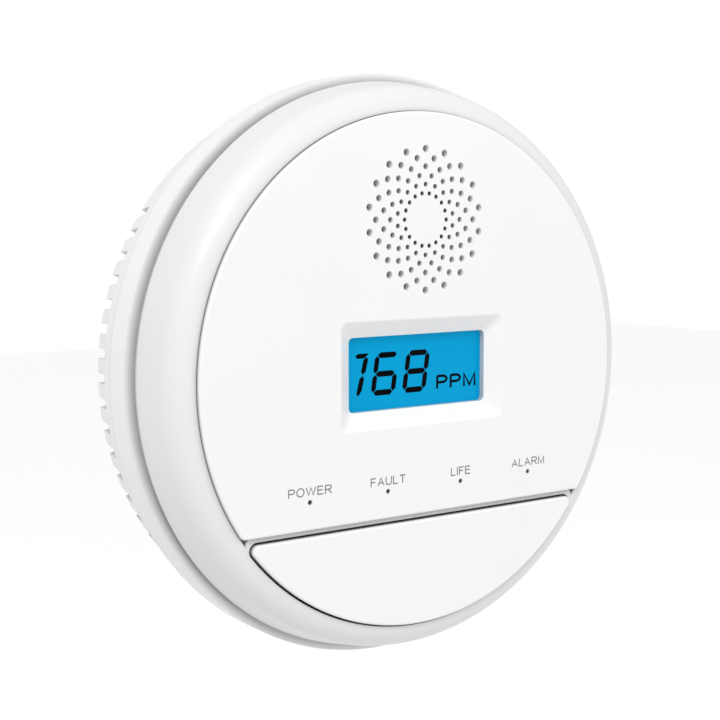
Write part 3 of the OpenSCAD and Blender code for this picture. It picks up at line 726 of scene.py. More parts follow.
DRESS: dict[str, tuple[Finish, str]] = {
    "mounting_plate": (BRACKET, "bracket_plastic"),
    "rear_housing": (SHELL_CAD, "case_plastic"),
    "speaker_cloth": (CLOTH, "dust_cloth"),
    "lcd_light_guide": (GUIDE, "clear_plastic"),
    "lcd_holder": (INNER, "inner_plastic"),
    "lcd_pins": (TIN, "plated_metal"),
    "light_pipes": (CLEAR, "clear_plastic"),
    "indicator_leds": (LED, "led_body"),
    "main_board": (BOARD, "circuit_board"),
    "controller_chip": (CHIP, "black_plastic"),
    "controller_legs": (TIN, "plated_metal"),
    "board_resistors": (CHIP, "black_plastic"),
    "board_capacitors": (ALUMINIUM, "aluminium_can"),
    "step_up_coil": (FERRITE, "ferrite"),
    "sounder_case": (BLACK, "black_plastic"),
    "piezo_plate": (BRASS, "brass"),
    "piezo_ceramic": (CERAMIC, "ceramic"),
    "sounder_leads": (WIRE, "red_wire"),
    "sensor_can": (TIN, "plated_metal"),
    "sensor_cap": (INNER, "inner_plastic"),
    "sensor_pins": (BRASS, "brass"),
    "sensor_screen": (CLOTH, "dust_cloth"),
    "switch_body": (BLACK, "black_plastic"),
    "switch_plunger": (BLACK, "black_plastic"),
    "battery_door": (DOOR, "case_plastic"),
    "rating_label": (PAPER, "blank_label"),
    "battery_cells": (SLEEVE, "cell_sleeve"),
    "battery_springs": (SPRING, "spring_steel"),
    "battery_contacts": (TIN, "plated_metal"),
    "case_screws": (SCREW, "screw_steel"),
    "board_screws": (SCREW, "screw_steel"),
}


def dress(obj: bpy.types.Object, finish: Finish) -> None:
    """Gives a piece one finish in every material slot.

    Args:
        obj: Piece to dress.
        finish: Its finish.
    """
    material = finish.build()
    if not obj.material_slots:
        obj.data.materials.append(material)
    for slot in obj.material_slots:
        slot.material = material


def settle(obj: bpy.types.Object, body: str, slot: str, finish: Finish, *nodes: str) -> None:
    """Finishes a new piece: its shading, material, body and the CAD nodes it stands for.

    Args:
        obj: New piece.
        body: CAD body that it rides on.
        slot: Material slot of the record; not used.
        finish: Its finish.
        nodes: CAD nodes that it replaces.
    """
    smooth(obj)
    dress(obj, finish)
    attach(obj, body)
    if nodes:
        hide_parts(*nodes)


# ---------------------------------------------------------------- the detector's outer pieces

@dataclass
class Stack:
    """Heights and radii that the pieces share, in millimetres.

    The first six are set from the CAD's boxes. The gap round the panel is drawn narrower than the CAD's.
    """

    face_z: float = 0.0
    plate_back: float = 0.0
    plate_r: float = 0.0
    deck_z: float = 0.0
    cover_base: float = 0.0
    chord_drop: float = 0.0
    floor_t: float = 1.1
    plate_gap: float = 0.03
    corner_r: float = 1.1
    bar_w: float = 1.2
    button_gap: float = 0.32
    button_h: float = 5.0
    well_wall: float = 1.3
    window: tuple[float, float] = (30.3, 13.0)
    window_r: float = 0.9
    lug_x: float = 20.0
    lug_t: float = 2.0
    lug_reach: float = 1.35
    hinge_drop: float = 2.4
    hinge_depth: float = 3.4
    switch_drop: float = 9.0
    cover_h: float = 8.7

    def __post_init__(self) -> None:
        """Reads the boxes of the face plate and the front cover."""
        low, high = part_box("face_plate")
        self.face_z, self.plate_back = -low.y / MM, -high.y / MM
        self.plate_r, self.chord_drop = high.x / MM, -low.z / MM
        low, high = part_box("front_cover")
        self.deck_z = -low.y / MM
        self.cover_base = self.plate_back - self.cover_h

    @property
    def floor_back(self) -> float:
        """Height of the inner side of the cover's floor.

        Returns:
            The height.
        """
        return self.plate_back - self.floor_t

    @property
    def edge_drop(self) -> float:
        """Distance from the centre down to the button's straight edge.

        Returns:
            The distance.
        """
        return self.chord_drop + self.bar_w

    @property
    def well_floor(self) -> float:
        """Height of the floor of the button's well.

        Returns:
            The height.
        """
        return self.face_z - self.button_h - 1

    @property
    def hinge(self) -> tuple[float, float]:
        """Place of the button's hinge line: how far up the wall, and its height.

        Returns:
            Both, in millimetres.
        """
        return -(self.edge_drop + self.hinge_drop), self.face_z - self.hinge_depth

    @property
    def switch(self) -> np.ndarray:
        """Place of the switch under the button, as an array of one point.

        Returns:
            The point.
        """
        return np.array([[0, self.hinge[0] - self.switch_drop]])


@dataclass
class Lights:
    """Places of the four indicator lights."""

    pitch: float = 16.33
    rise: float = 4.8
    hole_r: float = 0.4
    flare: float = 0.1
    pipe_r: float = 1.0

    def centres(self, stack: Stack) -> np.ndarray:
        """Centres of the lights, side by side above the panel's lower edge.

        Args:
            stack: Shared heights.

        Returns:
            Four points.
        """
        x = (np.arange(4) - 1.5) * self.pitch
        return np.stack([x, np.full(4, self.rise - stack.chord_drop)], -1)


@dataclass
class Sounder:
    """Pattern of the sounder holes: alternate rings are turned by half a step."""

    rings: int = 6
    holes: int = 18
    pitch: float = 1.534
    margin: float = 6.4
    inner_d: float = 0.77
    outer_d: float = 1.28
    flare: float = 0.05
    cloth_lap: float = 0.95

    @property
    def outer_r(self) -> float:
        """Radius of the outermost ring.

        Returns:
            The radius.
        """
        return self.pitch * (self.rings + 2)

    def centre_y(self, stack: Stack) -> float:
        """Height of the pattern's centre.

        Args:
            stack: Shared heights.

        Returns:
            Its y.
        """
        return stack.plate_r - self.margin - self.outer_r

    def cutter(self, stack: Stack) -> bpy.types.Object:
        """Pegs for all holes, each flared at the face.

        Ring i lies at pitch (i + 2) from the centre, and its holes grow evenly from the inner to the outer
        size.

        Args:
            stack: Shared heights.

        Returns:
            The pegs.
        """
        i = np.repeat(np.arange(1, self.rings + 1), self.holes)
        k = np.tile(np.arange(self.holes), self.rings)
        a = np.radians((k + np.where(i % 2 == 0, 0.5, 0.0)) * 360 / self.holes)
        reach = self.pitch * (i + 2)
        centres = np.stack([reach * np.cos(a), reach * np.sin(a) + self.centre_y(stack)], -1)
        r = (self.inner_d + (self.outer_d - self.inner_d) * (i - 1) / (self.rings - 1)) / 2
        top = stack.face_z
        heights = np.array([stack.plate_back - 1, top - self.flare, top - self.flare * 0.35, top, top + 0.5])
        grow = np.array([0.0, 0.0, 0.3, 1.0, 1.0]) * self.flare
        rows = np.stack([r[:, None] + grow[None], np.broadcast_to(heights, (len(r), 5))], -1)
        return rods("sounder_holes", centres, rows, 24)


@dataclass
class FrontCover:
    """Round cover: a lathe-turned rim over a floor with the display, sounder and light openings."""

    stack: Stack
    lights: Lights
    sounder: Sounder
    rim_round: float = 4.9
    rim_draft: float = 11.0
    wall: float = 1.65
    spigot_gap: float = 0.15
    spigot_t: float = 1.5
    spigot_h: float = 3.2
    chamfer: tuple[float, float] = (1.3, 2.4)
    stem_hole_r: float = 2.0
    case_post: tuple[float, float] = (28.2, 24.0)
    board_posts: tuple[tuple[float, float], ...] = ((-20, -34.0), (20, -34.0), (-24, 35.98), (24, 35.98))

    def rim_profile(self) -> np.ndarray:
        """Closed profile of the rim and floor: straight walls, one long shoulder arc and small round corners.

        Returns:
            Loop of (r, z).
        """
        s = self.stack
        shoulder = (s.plate_r - 0.05, s.deck_z - self.rim_round)
        draft = math.radians(self.rim_draft)
        wall_x = shoulder[0] + self.rim_round * math.cos(draft)
        wall_z = shoulder[1] + self.rim_round * math.sin(draft)
        base_r = wall_x + (wall_z - s.cover_base) * math.tan(draft)
        in_r = base_r - self.wall
        mid_r = in_r - self.spigot_gap - self.spigot_t + 0.1
        step_z = s.cover_base + self.spigot_h + 0.3
        pocket = s.plate_r + s.plate_gap
        inside = np.array([[mid_r - self.chamfer[0], s.floor_back], [mid_r, s.floor_back - self.chamfer[1]],
                           [mid_r, step_z], [in_r, step_z]])
        corner = lambda p, a, c: soften(np.array([a, p, c]), [0, 0.4, 0], 5)[6:12]
        base_in = corner((in_r, s.cover_base), (in_r, step_z), (base_r, s.cover_base))
        base_out = corner((base_r, s.cover_base), (in_r, s.cover_base), (wall_x, wall_z))
        rim = arc(*shoulder, self.rim_round, self.rim_draft, 86, 44)
        lip = np.array([[pocket + 0.1, s.deck_z - 0.01], [pocket + 0.03, s.deck_z - 0.05],
                        [pocket, s.deck_z - 0.15], [pocket, s.plate_back], [0, s.plate_back]])
        return np.concatenate([[[0, s.floor_back]], inside, base_in, base_out, rim, lip])

    def build(self) -> bpy.types.Object:
        """Turns the rim, adds the well and bar, and cuts the openings.

        Returns:
            The cover.
        """
        s = self.stack
        cover = lathe("front_cover_shell", self.rim_profile(), 240)
        well_r, top = s.plate_r + s.button_gap, s.edge_drop - s.button_gap
        well = prism("well", lower_cap_outline(well_r + s.well_wall, top - s.well_wall, 1.5),
                     [(0, s.well_floor - s.floor_t), (0, s.plate_back - 0.4)])
        pocket = s.plate_r + s.plate_gap
        bar = prism("bar", lower_cap_outline(pocket + 0.1, s.chord_drop + s.plate_gap, s.corner_r),
                    round_edge(s.plate_back - 0.5, s.deck_z, 0, 0.12, 3))
        combine(cover, well, "UNION")
        combine(cover, bar, "UNION")
        well_cut = prism("well_cut", lower_cap_outline(well_r, top, s.corner_r + s.button_gap),
                         [(0, s.well_floor), (0, s.deck_z - 0.15), (-0.04, s.deck_z - 0.05),
                          (-0.15, s.deck_z + 0.01), (-0.15, s.face_z + 1)])
        combine(cover, well_cut, "DIFFERENCE")
        floor = (s.floor_back - 1, s.plate_back + 0.6)
        window = prism("window", rect_outline(*s.window, s.window_r), [(0, floor[0]), (0, floor[1])])
        combine(cover, window, "DIFFERENCE")
        holes = np.concatenate([self.lights.centres(s), [[0, self.sounder.centre_y(s)]]])
        radii = [self.lights.pipe_r + 0.1] * 4 + [self.sounder.outer_r + self.sounder.cloth_lap]
        rows = np.stack([straight(r, *floor)[0] for r in radii])
        combine(cover, rods("openings", holes, rows, 48), "DIFFERENCE")
        stem_hole = straight(self.stem_hole_r, s.well_floor - s.floor_t - 1, s.well_floor + 1)
        combine(cover, rods("stem_hole", s.switch, stem_hole), "DIFFERENCE")
        join(cover, *self.lugs(), *self.posts())
        weld(cover)
        settle(cover, "detector", "case_plastic", SHELL, "front_cover")
        return cover

    def lugs(self) -> list[bpy.types.Object]:
        """Two upright lugs in the well that carry the button's pins.

        Returns:
            The lugs.
        """
        s = self.stack
        outline = rect_outline(s.lug_t, 2 * s.lug_reach, 0.2, 3)
        section = round_edge(s.well_floor - 0.2, s.hinge[1] + s.lug_reach, 0, 0.2, 3)
        x = s.lug_x + s.lug_t / 2
        return [prism(f"lug_{side}", outline, section, (side * x, s.hinge[0])) for side in (-1, 1)]

    def posts(self) -> list[bpy.types.Object]:
        """Hollow screw posts under the floor, one to each case screw and board screw.

        Returns:
            The posts.
        """
        s = self.stack
        low = -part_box("main_board")[0].y / MM
        made = []
        x, y = self.case_post
        case = [(sx * x, sy * y) for sx in (-1, 1) for sy in (-1, 1)]
        kinds = ((case, 3.0, 1.35, s.floor_back - 2.0), (self.board_posts, 2.6, 1.05, low + 3.5))
        for spots, outer, bore, tip in kinds:
            for i, spot in enumerate(spots):
                profile = np.array([[bore, low], [outer, low], [outer, s.floor_back + 0.1],
                                    [0, s.floor_back + 0.1], [0, tip], [bore, tip]])
                made.append(lathe(f"post_{outer}_{i}", profile, 32, spot))
        return made


@dataclass
class FacePanel:
    """Raised front panel with rounded edges, flared sounder holes and a sloped display frame."""

    stack: Stack
    lights: Lights
    sounder: Sounder
    edge_r: float = 0.42
    bezel: float = 2.85

    def build(self) -> bpy.types.Object:
        """Carries a rounded edge round the panel's outline and cuts every opening.

        Returns:
            The panel.
        """
        s = self.stack
        outline = cap_outline(s.plate_r, -s.chord_drop, s.corner_r, 220)
        panel = prism("face_panel", outline, round_edge(s.plate_back, s.face_z, 0.1, self.edge_r, 6))
        combine(panel, self.recess(), "DIFFERENCE")
        combine(panel, self.sounder.cutter(s), "DIFFERENCE")
        centres, r = self.lights.centres(s), self.lights.hole_r
        wide = r + self.lights.flare
        hole = np.array([[r, s.plate_back - 1], [r, s.face_z - 0.1], [wide, s.face_z], [wide, s.face_z + 1]])
        combine(panel, rods("light_holes", centres, np.tile(hole, (len(centres), 1, 1)), 32), "DIFFERENCE")
        settle(panel, "detector", "panel_plastic", PANEL, "face_plate")
        return panel

    def recess(self) -> bpy.types.Object:
        """Cutter of the display frame: the window's outline grows by the bezel's width up to the face.

        Returns:
            The cutter.
        """
        s = self.stack
        w, h = s.window[0] + 2 * self.bezel, s.window[1] + 2 * self.bezel
        top = rect_outline(w, h, 1.4, 10)
        low = rect_outline(*s.window, s.window_r, 10)
        mix = lambda t: low + (top - low) * t
        lip = rect_outline(w + 0.5, h + 0.5, 1.55, 10)
        rings = [(low, s.plate_back - 1), (low, s.plate_back), (mix(0.94), s.face_z - 0.16),
                 (mix(1.0), s.face_z - 0.05), (lip, s.face_z), (lip, s.face_z + 1)]
        points = np.concatenate([np.concatenate([ring, np.full((len(ring), 1), z)], -1) for ring, z in rings])
        n, k = len(low), len(rings)
        faces = grid_faces(k, n, False).tolist() + [list(range(n)), list(range((k - 1) * n, k * n))]
        return make_object("display_recess", points, faces)


@dataclass
class TestButton:
    """Crescent test button: a rounded cap with a skirt, two ribs with hinge pins and a boss on the switch."""

    stack: Stack
    edge_r: float = 0.45
    wall: float = 1.2
    skin: float = 1.6
    lug_play: float = 0.3
    rib_t: float = 1.4
    rib_gap: float = 0.6
    pin_r: float = 0.8
    boss_r: float = 2.2
    boss_gap: float = 0.9

    def build(self) -> bpy.types.Object:
        """Makes the hollow cap and adds its ribs, pins and boss.

        Returns:
            The button.
        """
        s = self.stack
        base = s.face_z - s.button_h
        under = s.face_z - self.skin
        cap = prism("button_cap", lower_cap_outline(s.plate_r, s.edge_drop, s.corner_r, 200),
                    round_edge(base, s.face_z, 0.15, self.edge_r, 6))
        cut = [(0, base - 1), (0, under)]
        hollow = lower_cap_outline(s.plate_r - self.wall, s.edge_drop + self.wall, s.corner_r / 2)
        combine(cap, prism("hollow", hollow, cut), "DIFFERENCE")
        room = rect_outline(s.lug_t + 1, 2 * (s.lug_reach + self.lug_play), 0.15, 3)
        for side in (-1, 1):
            spot = (side * (s.lug_x + s.lug_t / 2), s.hinge[0])
            combine(cap, prism("lug_room", room, cut, spot), "DIFFERENCE")
        join(cap, *self.ribs(under), *self.pins(), self.boss(under))
        weld(cap)
        settle(cap, "button", "case_plastic", PANEL, "test_button")
        return cap

    def ribs(self, under: float) -> list[bpy.types.Object]:
        """Two ribs that hold the pins.

        Args:
            under: Height of the cap's inner face.

        Returns:
            The ribs.
        """
        s = self.stack
        x = s.lug_x + s.lug_t + self.rib_gap + self.rib_t / 2
        section = round_edge(s.hinge[1] - s.lug_reach, under + 0.05, 0.2, 0, 3)
        outline = rect_outline(self.rib_t, 2 * s.lug_reach, 0.2, 3)
        return [prism(f"rib_{side}", outline, section, (side * x, s.hinge[0])) for side in (-1, 1)]

    def pins(self) -> list[bpy.types.Object]:
        """Two pins along the hinge line: circles of the pin's radius carried along x.

        Returns:
            The pins.
        """
        s = self.stack
        y, z = s.hinge
        inner, outer = s.lug_x - 0.2, s.lug_x + s.lug_t + self.rib_gap
        a = np.linspace(0, 2 * math.pi, 32, endpoint=False)
        made = []
        for side in (-1, 1):
            stations = np.array([[inner, self.pin_r - 0.12], [inner + 0.12, self.pin_r],
                                 [outer + 0.1, self.pin_r]])
            x = side * stations[:, :1] + 0 * a
            points = np.stack([x, stations[:, 1:] * np.cos(a) + y, stations[:, 1:] * np.sin(a) + z], -1)
            n = len(a)
            faces = grid_faces(3, n, False).tolist() + [list(range(n)), list(range(2 * n, 3 * n))]
            made.append(make_object(f"pin_{side}", points.reshape(-1, 3), faces))
        return made

    def boss(self, under: float) -> bpy.types.Object:
        """Round boss over the switch's stem.

        Args:
            under: Height of the cap's inner face.

        Returns:
            The boss.
        """
        low = self.stack.well_floor + self.boss_gap
        rows = np.array([[[self.boss_r - 0.2, low], [self.boss_r, low + 0.2], [self.boss_r, under + 0.05]]])
        return rods("boss", self.stack.switch, rows, 40)


# ---------------------------------------------------------------- display and lettering

# Bars of each digit: a to g as usual, h for a flag at the top and k for a lower bar down to the baseline
SEGMENTS = {"1": "hbk", "6": "acdefg", "8": "abcdefg"}

LETTERS: dict[str, list[tuple[str, tuple[float, ...]]]] = {
    "A": [("line", (0, 0, 0.335, 0.97, 0.67, 0)), ("line", (0.13, 0.34, 0.54, 0.34))],
    "E": [("line", (0.55, 0, 0, 0, 0, 1, 0.54, 1)), ("line", (0, 0.53, 0.5, 0.53))],
    "F": [("line", (0, -0.06, 0, 1, 0.5, 1)), ("line", (0, 0.52, 0.43, 0.52))],
    "I": [("line", (0, -0.06, 0, 1.06))],
    "L": [("line", (0, 1.06, 0, 0, 0.47, 0))],
    "M": [("line", (0, -0.06, 0, 0.99, 0.34, 0.04, 0.68, 0.99, 0.68, -0.06))],
    "O": [("loop", (0.36, 0.5, 0.36, 0.51))],
    "P": [("line", (0, -0.06, 0, 1)), ("bowl", (0, 1, 0.32, 0.46))],
    "R": [("line", (0, -0.06, 0, 1)), ("bowl", (0, 1, 0.35, 0.48)), ("line", (0.3, 0.48, 0.62, -0.04))],
    "T": [("line", (0, 1, 0.62, 1)), ("line", (0.31, 1, 0.31, -0.06))],
    "U": [("cup", (0, 1.06, 0.29, 0.28))],
    "W": [("line", (0, 1.02, 0.24, 0.03, 0.47, 0.97, 0.7, 0.03, 0.94, 1.02))],
}


@dataclass
class Display:
    """Blue display behind the window, with three slanted seven-segment digits and a unit."""

    stack: Stack
    reading: str = "168"
    digit_h: float = 7.55
    digit_w: float = 4.3
    stroke: float = 1.0
    slants: tuple[float, ...] = (0.265, 0.155, 0.155)
    digit_x: tuple[float, ...] = (-16.7, -9.25, -2.4)
    baseline: float = -4.0
    unit_x: float = 9.55
    unit_h: float = 2.6
    ink_t: float = 0.02

    def build(self) -> list[bpy.types.Object]:
        """Makes the glass and everything that shows on it.

        Returns:
            The pieces.
        """
        low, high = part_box("lcd_glass")
        w, h = (high.x - low.x) / MM, (high.z - low.z) / MM
        top = -low.y / MM
        glass = prism("display_glass", rect_outline(w, h, 0.4, 6),
                      round_edge(-high.y / MM, top, 0.15, 0.2, 4))
        settle(glass, "detector", "display_glass", LCD, "lcd_glass")
        made = [glass]
        for place, (digit, x, slant) in enumerate(zip(self.reading, self.digit_x, self.slants)):
            piece = self.digit(f"display_digit_{place + 1}", digit, x, slant, top)
            settle(piece, "detector", "display_glass", INK)
            made.append(piece)
        unit_y = self.baseline + self.unit_h / 2 + 0.15
        unit = lettering("display_unit", "PPM", self.unit_h, (self.unit_x, unit_y), top, self.ink_t,
                         weight=0.18, stretch=1.42, gap=0.37)
        settle(unit, "detector", "display_glass", INK)
        return made + [unit]

    def digit(self, name: str, digit: str, x: float, slant: float, top: float) -> bpy.types.Object:
        """One digit: bars with pointed ends, slanted by x + slant times y.

        Args:
            name: Name of the piece.
            digit: Digit to show.
            x: Left edge of the digit at its baseline.
            slant: Lean to the right for each millimetre of height.
            top: Height of the glass.

        Returns:
            The digit.
        """
        t, w, h = self.stroke, self.digit_w, self.digit_h
        across = np.array([[0.1, 0], [t / 2 + 0.1, t / 2], [w - t / 2 - 0.1, t / 2], [w - 0.1, 0],
                           [w - t / 2 - 0.1, -t / 2], [t / 2 + 0.1, -t / 2]])
        half = h / 2 - t / 2
        rise = np.array([[0, 0.1], [t / 2, t / 2 + 0.1], [t / 2, half - t / 2 - 0.1], [0, half - 0.1],
                         [-t / 2, half - t / 2 - 0.1], [-t / 2, t / 2 + 0.1]])
        flag = np.array([[w - 2.45, 0.12], [w - 1.95, 0.5], [w + 0.25, 0.5], [w + 0.35, 0.42],
                         [w - 0.45, -0.35], [w - 1.95, -0.35]])
        foot = np.array([[0, -t / 2], [0, 0], [0, 0], [0, 0], [0, 0], [0, -t / 2]])
        bars = {
            "a": across + [0, 2 * half], "b": rise + [w, half], "c": rise + [w, 0], "d": across, "e": rise,
            "f": rise + [0, half], "g": across + [0, half], "h": flag + [0, 2 * half],
            "k": rise + foot + [w, 0],
        }
        shapes = np.stack([bars[key] for key in SEGMENTS[digit]]) + [x, self.baseline + t / 2]
        shapes[..., 0] += slant * (shapes[..., 1] - self.baseline)
        flat = np.repeat(shapes[:, None], 2, axis=1)
        ends_z = np.array([top - 0.005, top + self.ink_t])
        level = np.broadcast_to(ends_z[None, :, None, None], flat.shape[:3] + (1,))
        points = np.concatenate([flat, level], -1).reshape(-1, 3)
        start = (np.arange(len(shapes)) * 12)[:, None, None]
        sides = (grid_faces(2, 6, False)[None] + start).reshape(-1, 4).tolist()
        ends = (np.stack([np.arange(6), np.arange(6) + 6])[None] + start).reshape(-1, 6).tolist()
        return make_object(name, points, sides + ends)


def stroke_path(kind: str, numbers: tuple[float, ...]) -> tuple[np.ndarray, bool]:
    """Centre line of one stroke of a letter of height 1.

    Args:
        kind: line through points, loop round an ellipse, bowl right of a stem, or cup between two stems.
        numbers: The points of a line; centre and radii of a loop; start, width and foot of a bowl; or start,
            half width and height of the curve of a cup.

    Returns:
        The points, and whether they close.
    """
    if kind == "line":
        return np.array(numbers, float).reshape(-1, 2), False
    if kind == "loop":
        cx, cy, rx, ry = numbers
        return arc(0, 0, 1, 0, 360, 28)[:-1] * [rx, ry] + [cx, cy], True
    if kind == "bowl":
        x, top, width, foot = numbers
        r = (top - foot) / 2
        return np.concatenate([[[x, top]], arc(x + width, top - r, r, 90, -90, 12), [[x, foot]]]), False
    x, top, half, curve = numbers
    return np.concatenate([[[x, top]], arc(0, 0, 1, 180, 360, 16) * [half, curve] + [x + half, curve],
                           [[x + 2 * half, top]]]), False


def ribbon(path: np.ndarray, closed: bool, half: float) -> np.ndarray:
    """Both edges of a stroke: the path moved sideways by half its width, and further where it bends.

    Args:
        path: Centre line.
        closed: Whether it closes.
        half: Half the stroke's width.

    Returns:
        Array of rows of (left, right) points.
    """
    beyond = path[:1] if closed else path[-1:] * 2 - path[-2:-1]
    ahead = np.diff(path, axis=0, append=beyond)
    ahead = ahead / np.linalg.norm(ahead, axis=1, keepdims=True)
    behind = np.roll(ahead, 1, 0)
    behind[0] = behind[0] if closed else ahead[0]
    mean = ahead + behind
    mean = mean / np.linalg.norm(mean, axis=1, keepdims=True)
    bend = np.clip((mean * ahead).sum(1, keepdims=True), 0.62, 1)
    side = np.stack([-mean[:, 1], mean[:, 0]], -1) * half / bend
    return np.stack([path + side, path - side], 1)


def lettering(name: str, words: str, height: float, centre: tuple[float, float], base: float, thick: float,
              weight: float, stretch: float, gap: float) -> bpy.types.Object:
    """Raised lettering: a flat rectangular section carried along the strokes of each letter.

    Args:
        name: Name of the piece.
        words: Text to show.
        height: Height of the capitals.
        centre: Middle of the text.
        base: Height of the surface that carries it.
        thick: How far it stands proud.
        weight: Width of a stroke, as a share of the height.
        stretch: Stretch along x.
        gap: Space between letters, as a share of the height.

    Returns:
        The lettering.
    """
    half, cursor, edges = weight / 2, 0.0, []
    for letter in words:
        strokes = [stroke_path(kind, numbers) for kind, numbers in LETTERS[letter]]
        wide = max(path[:, 0].max() for path, _ in strokes)
        edges += [(ribbon(path * [stretch, 1 - weight] + [cursor, half], closed, half), closed)
                  for path, closed in strokes]
        cursor += wide * stretch + gap
    middle = np.array([(cursor - gap) / 2, 0.5])
    points, faces, start = [], [], 0
    for step, (sides, closed) in enumerate(edges):
        flat = (sides - middle) * height + centre
        low, high = base - 0.004, base + thick * (1 + 0.04 * step)
        ring = np.concatenate([np.insert(flat, 2, low, axis=2), np.insert(flat[:, ::-1], 2, high, axis=2)], 1)
        n = len(ring)
        quads = grid_faces(n, 4, closed) + start
        faces += quads.tolist()
        faces += [] if closed else [[start, start + 1, start + 2, start + 3],
                                    [start + 4 * n - 4 + k for k in range(4)]]
        points.append(ring.reshape(-1, 3))
        start += 4 * n
    return make_object(name, np.concatenate(points), faces)


@dataclass
class Labels:
    """Small printed words over the indicator lights."""

    stack: Stack
    lights: Lights
    words: tuple[str, ...] = ("POWER", "FAULT", "LIFE", "ALARM")
    cap_h: float = 1.54
    y: float = -18.6
    ink_t: float = 0.015

    def build(self) -> list[bpy.types.Object]:
        """Prints each word over its light.

        Returns:
            The words.
        """
        made = []
        for word, spot in zip(self.words, self.lights.centres(self.stack)):
            piece = lettering(f"label_{word.lower()}", word, self.cap_h, (spot[0], self.y), self.stack.face_z,
                              self.ink_t, weight=0.13, stretch=1.28, gap=0.3)
            settle(piece, "detector", "panel_plastic", PRINT)
            made.append(piece)
        return made


@dataclass
class JointPaintedShade:
    """Thin grey ring of painted shade in the groove between the two halves of the case."""

    stack: Stack
    collar_r: float = 50.4
    band_top: float = 16.2
    thick: float = 0.12

    def build(self) -> bpy.types.Object:
        """Turns the ring's flat section round the case.

        Returns:
            The ring.
        """
        # Painted shade: a grey ring that darkens the groove where shade falls.
        low, high = self.band_top + 0.02, self.stack.cover_base - 0.12
        profile = soften(np.array([[self.collar_r - 0.02, low], [self.collar_r + self.thick, low],
                                   [self.collar_r + self.thick, high], [self.collar_r - 0.02, high]]),
                         [0.02, 0.05, 0.05, 0.02], 3)
        painted_shade = lathe("joint_painted_shade", profile, 240)
        settle(painted_shade, "detector", "inner_plastic", JOINT_SHADE)
        return painted_shade


# ---------------------------------------------------------------- CAD parts that keep their shape

@dataclass
class KeptParts:
    """CAD nodes whose shape is right, given their finishes."""

    finishes: dict[str, tuple[Finish, str]] = field(default_factory=lambda: dict(DRESS))

    def build(self) -> list[bpy.types.Object]:
        """Dresses each node.

        Returns:
            The nodes.
        """
        made = []
        for node, (finish, slot) in self.finishes.items():
            dress(NODES[node], finish)
            made.append(NODES[node])
        return made


# ---------------------------------------------------------------- studio

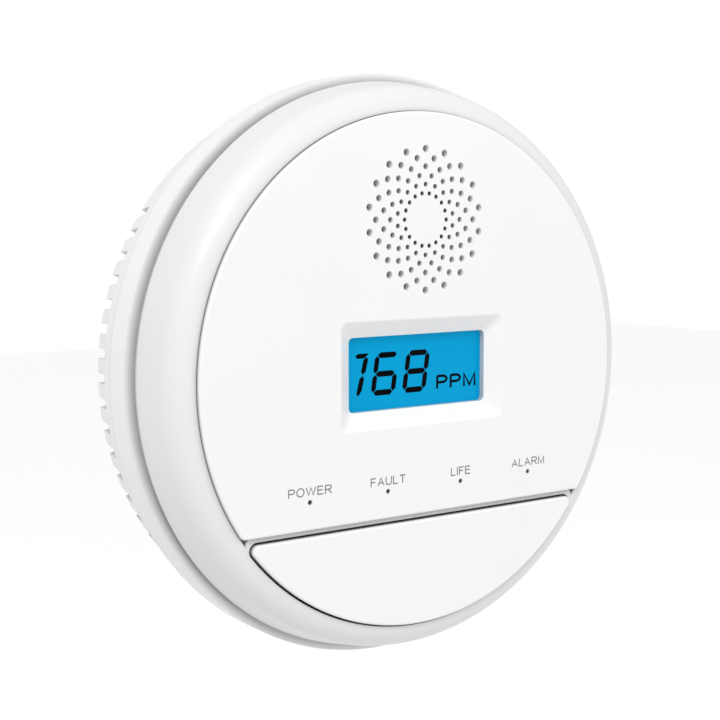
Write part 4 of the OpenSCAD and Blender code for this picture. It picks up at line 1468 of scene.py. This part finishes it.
@dataclass
class Studio:
    """Pale floor, soft lights, a bright surround and the camera."""

    place: tuple[float, float, float] = (-0.1530, -0.2219, 0.0272)
    ahead: tuple[float, float, float] = (0.5795, 0.8086, -0.1015)
    up: tuple[float, float, float] = (0.0614, 0.0809, 0.9948)
    lens: float = 70.45
    floor_drop: float = 0.30
    ambient: float = 0.72

    def build(self) -> None:
        """Makes the floor, the surround, the lights and the camera."""
        self.floor()
        self.surround()
        self.light("key", (-0.58, -0.65, 0.78), 0.45, 5.3)
        self.light("side", (0.60, -0.80, 0.35), 0.5, 1.2)
        self.camera()
        bpy.context.scene.view_settings.view_transform = "Standard"

    def floor(self) -> None:
        """Flat pale floor under the detector, which shows and mirrors but throws no soft light back up."""
        half = 3.0
        corners = np.array([[-half, -half], [half, -half], [half, half], [-half, half]])
        points = np.column_stack([corners, np.full(4, -self.floor_drop)])
        mesh = bpy.data.meshes.new("floor")
        mesh.from_pydata(points.tolist(), [], [[0, 1, 2, 3]])
        floor = bpy.data.objects.new("floor", mesh)
        bpy.context.scene.collection.objects.link(floor)
        floor.visible_diffuse = False
        dress(floor, FLOOR)
        floor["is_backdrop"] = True

    def surround(self) -> None:
        """Bright even surround, softer as a light than it looks behind the detector."""
        world = bpy.data.worlds.new("surround")
        bpy.context.scene.world = world
        world.use_nodes = True
        tree = world.node_tree
        tree.nodes.clear()
        out = tree.nodes.new("ShaderNodeOutputWorld")
        mix = tree.nodes.new("ShaderNodeMixShader")
        path = tree.nodes.new("ShaderNodeLightPath")
        soft, bright = (tree.nodes.new("ShaderNodeBackground") for _ in range(2))
        soft.inputs["Strength"].default_value = self.ambient
        soft.inputs["Color"].default_value = (1, 1, 1, 1)
        bright.inputs["Strength"].default_value = 1.0
        bright.inputs["Color"].default_value = (1, 1, 1, 1)
        tree.links.new(path.outputs["Is Camera Ray"], mix.inputs[0])
        tree.links.new(soft.outputs[0], mix.inputs[1])
        tree.links.new(bright.outputs[0], mix.inputs[2])
        tree.links.new(mix.outputs[0], out.inputs["Surface"])

    def light(self, name: str, place: tuple[float, float, float], size: float, power: float) -> None:
        """Square area light aimed at the detector.

        Args:
            name: Name of the light.
            place: Where it stands, in metres.
            size: Length of its side.
            power: Its power in watts.
        """
        data = bpy.data.lights.new(name, "AREA")
        data.shape = "SQUARE"
        data.size = size
        data.energy = power
        obj = bpy.data.objects.new(name, data)
        obj.location = place
        obj.rotation_euler = (Vector((0, -0.014, 0)) - Vector(place)).to_track_quat("-Z", "Y").to_euler()
        bpy.context.scene.collection.objects.link(obj)

    def camera(self) -> None:
        """Camera at the left, a little above the centre."""
        data = bpy.data.cameras.new("camera")
        data.lens = self.lens
        data.sensor_width = 36.0
        data.clip_start = 0.01
        data.clip_end = 20.0
        camera = bpy.data.objects.new("camera", data)
        bpy.context.scene.collection.objects.link(camera)
        back = -Vector(self.ahead).normalized()
        right = Vector(self.up).cross(back).normalized()
        up = back.cross(right)
        turn = Matrix((right, up, back)).transposed().to_4x4()
        camera.matrix_world = Matrix.Translation(self.place) @ turn
        bpy.context.scene.camera = camera


def main() -> None:
    logging.basicConfig(level=logging.INFO, format="%(message)s", stream=sys.stdout)
    cad = [list(corner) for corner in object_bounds()]
    stack, lights, sounder = Stack(), Lights(), Sounder()
    LOG.info("heights: face %.2f, deck %.2f, cover base %.2f", stack.face_z, stack.deck_z, stack.cover_base)
    studio = Studio()
    studio.build()
    makers: tuple[Callable[[], object], ...] = (
        FrontCover(stack, lights, sounder).build,
        FacePanel(stack, lights, sounder).build,
        TestButton(stack).build,
        # Grey ring of painted shade in the groove between the case halves.
        JointPaintedShade(stack).build,
        Display(stack).build,
        Labels(stack, lights).build,
        KeptParts().build,
    )
    for make in makers:
        made = make()
        for piece in made if isinstance(made, list) else [made]:
            LOG.info("%s: %d faces", piece.name, len(piece.data.polygons))
    seen = [list(corner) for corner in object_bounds()]
    LOG.info("box of the CAD %s, of the looks %s", cad, seen)


if __name__ == "__main__":
    main()
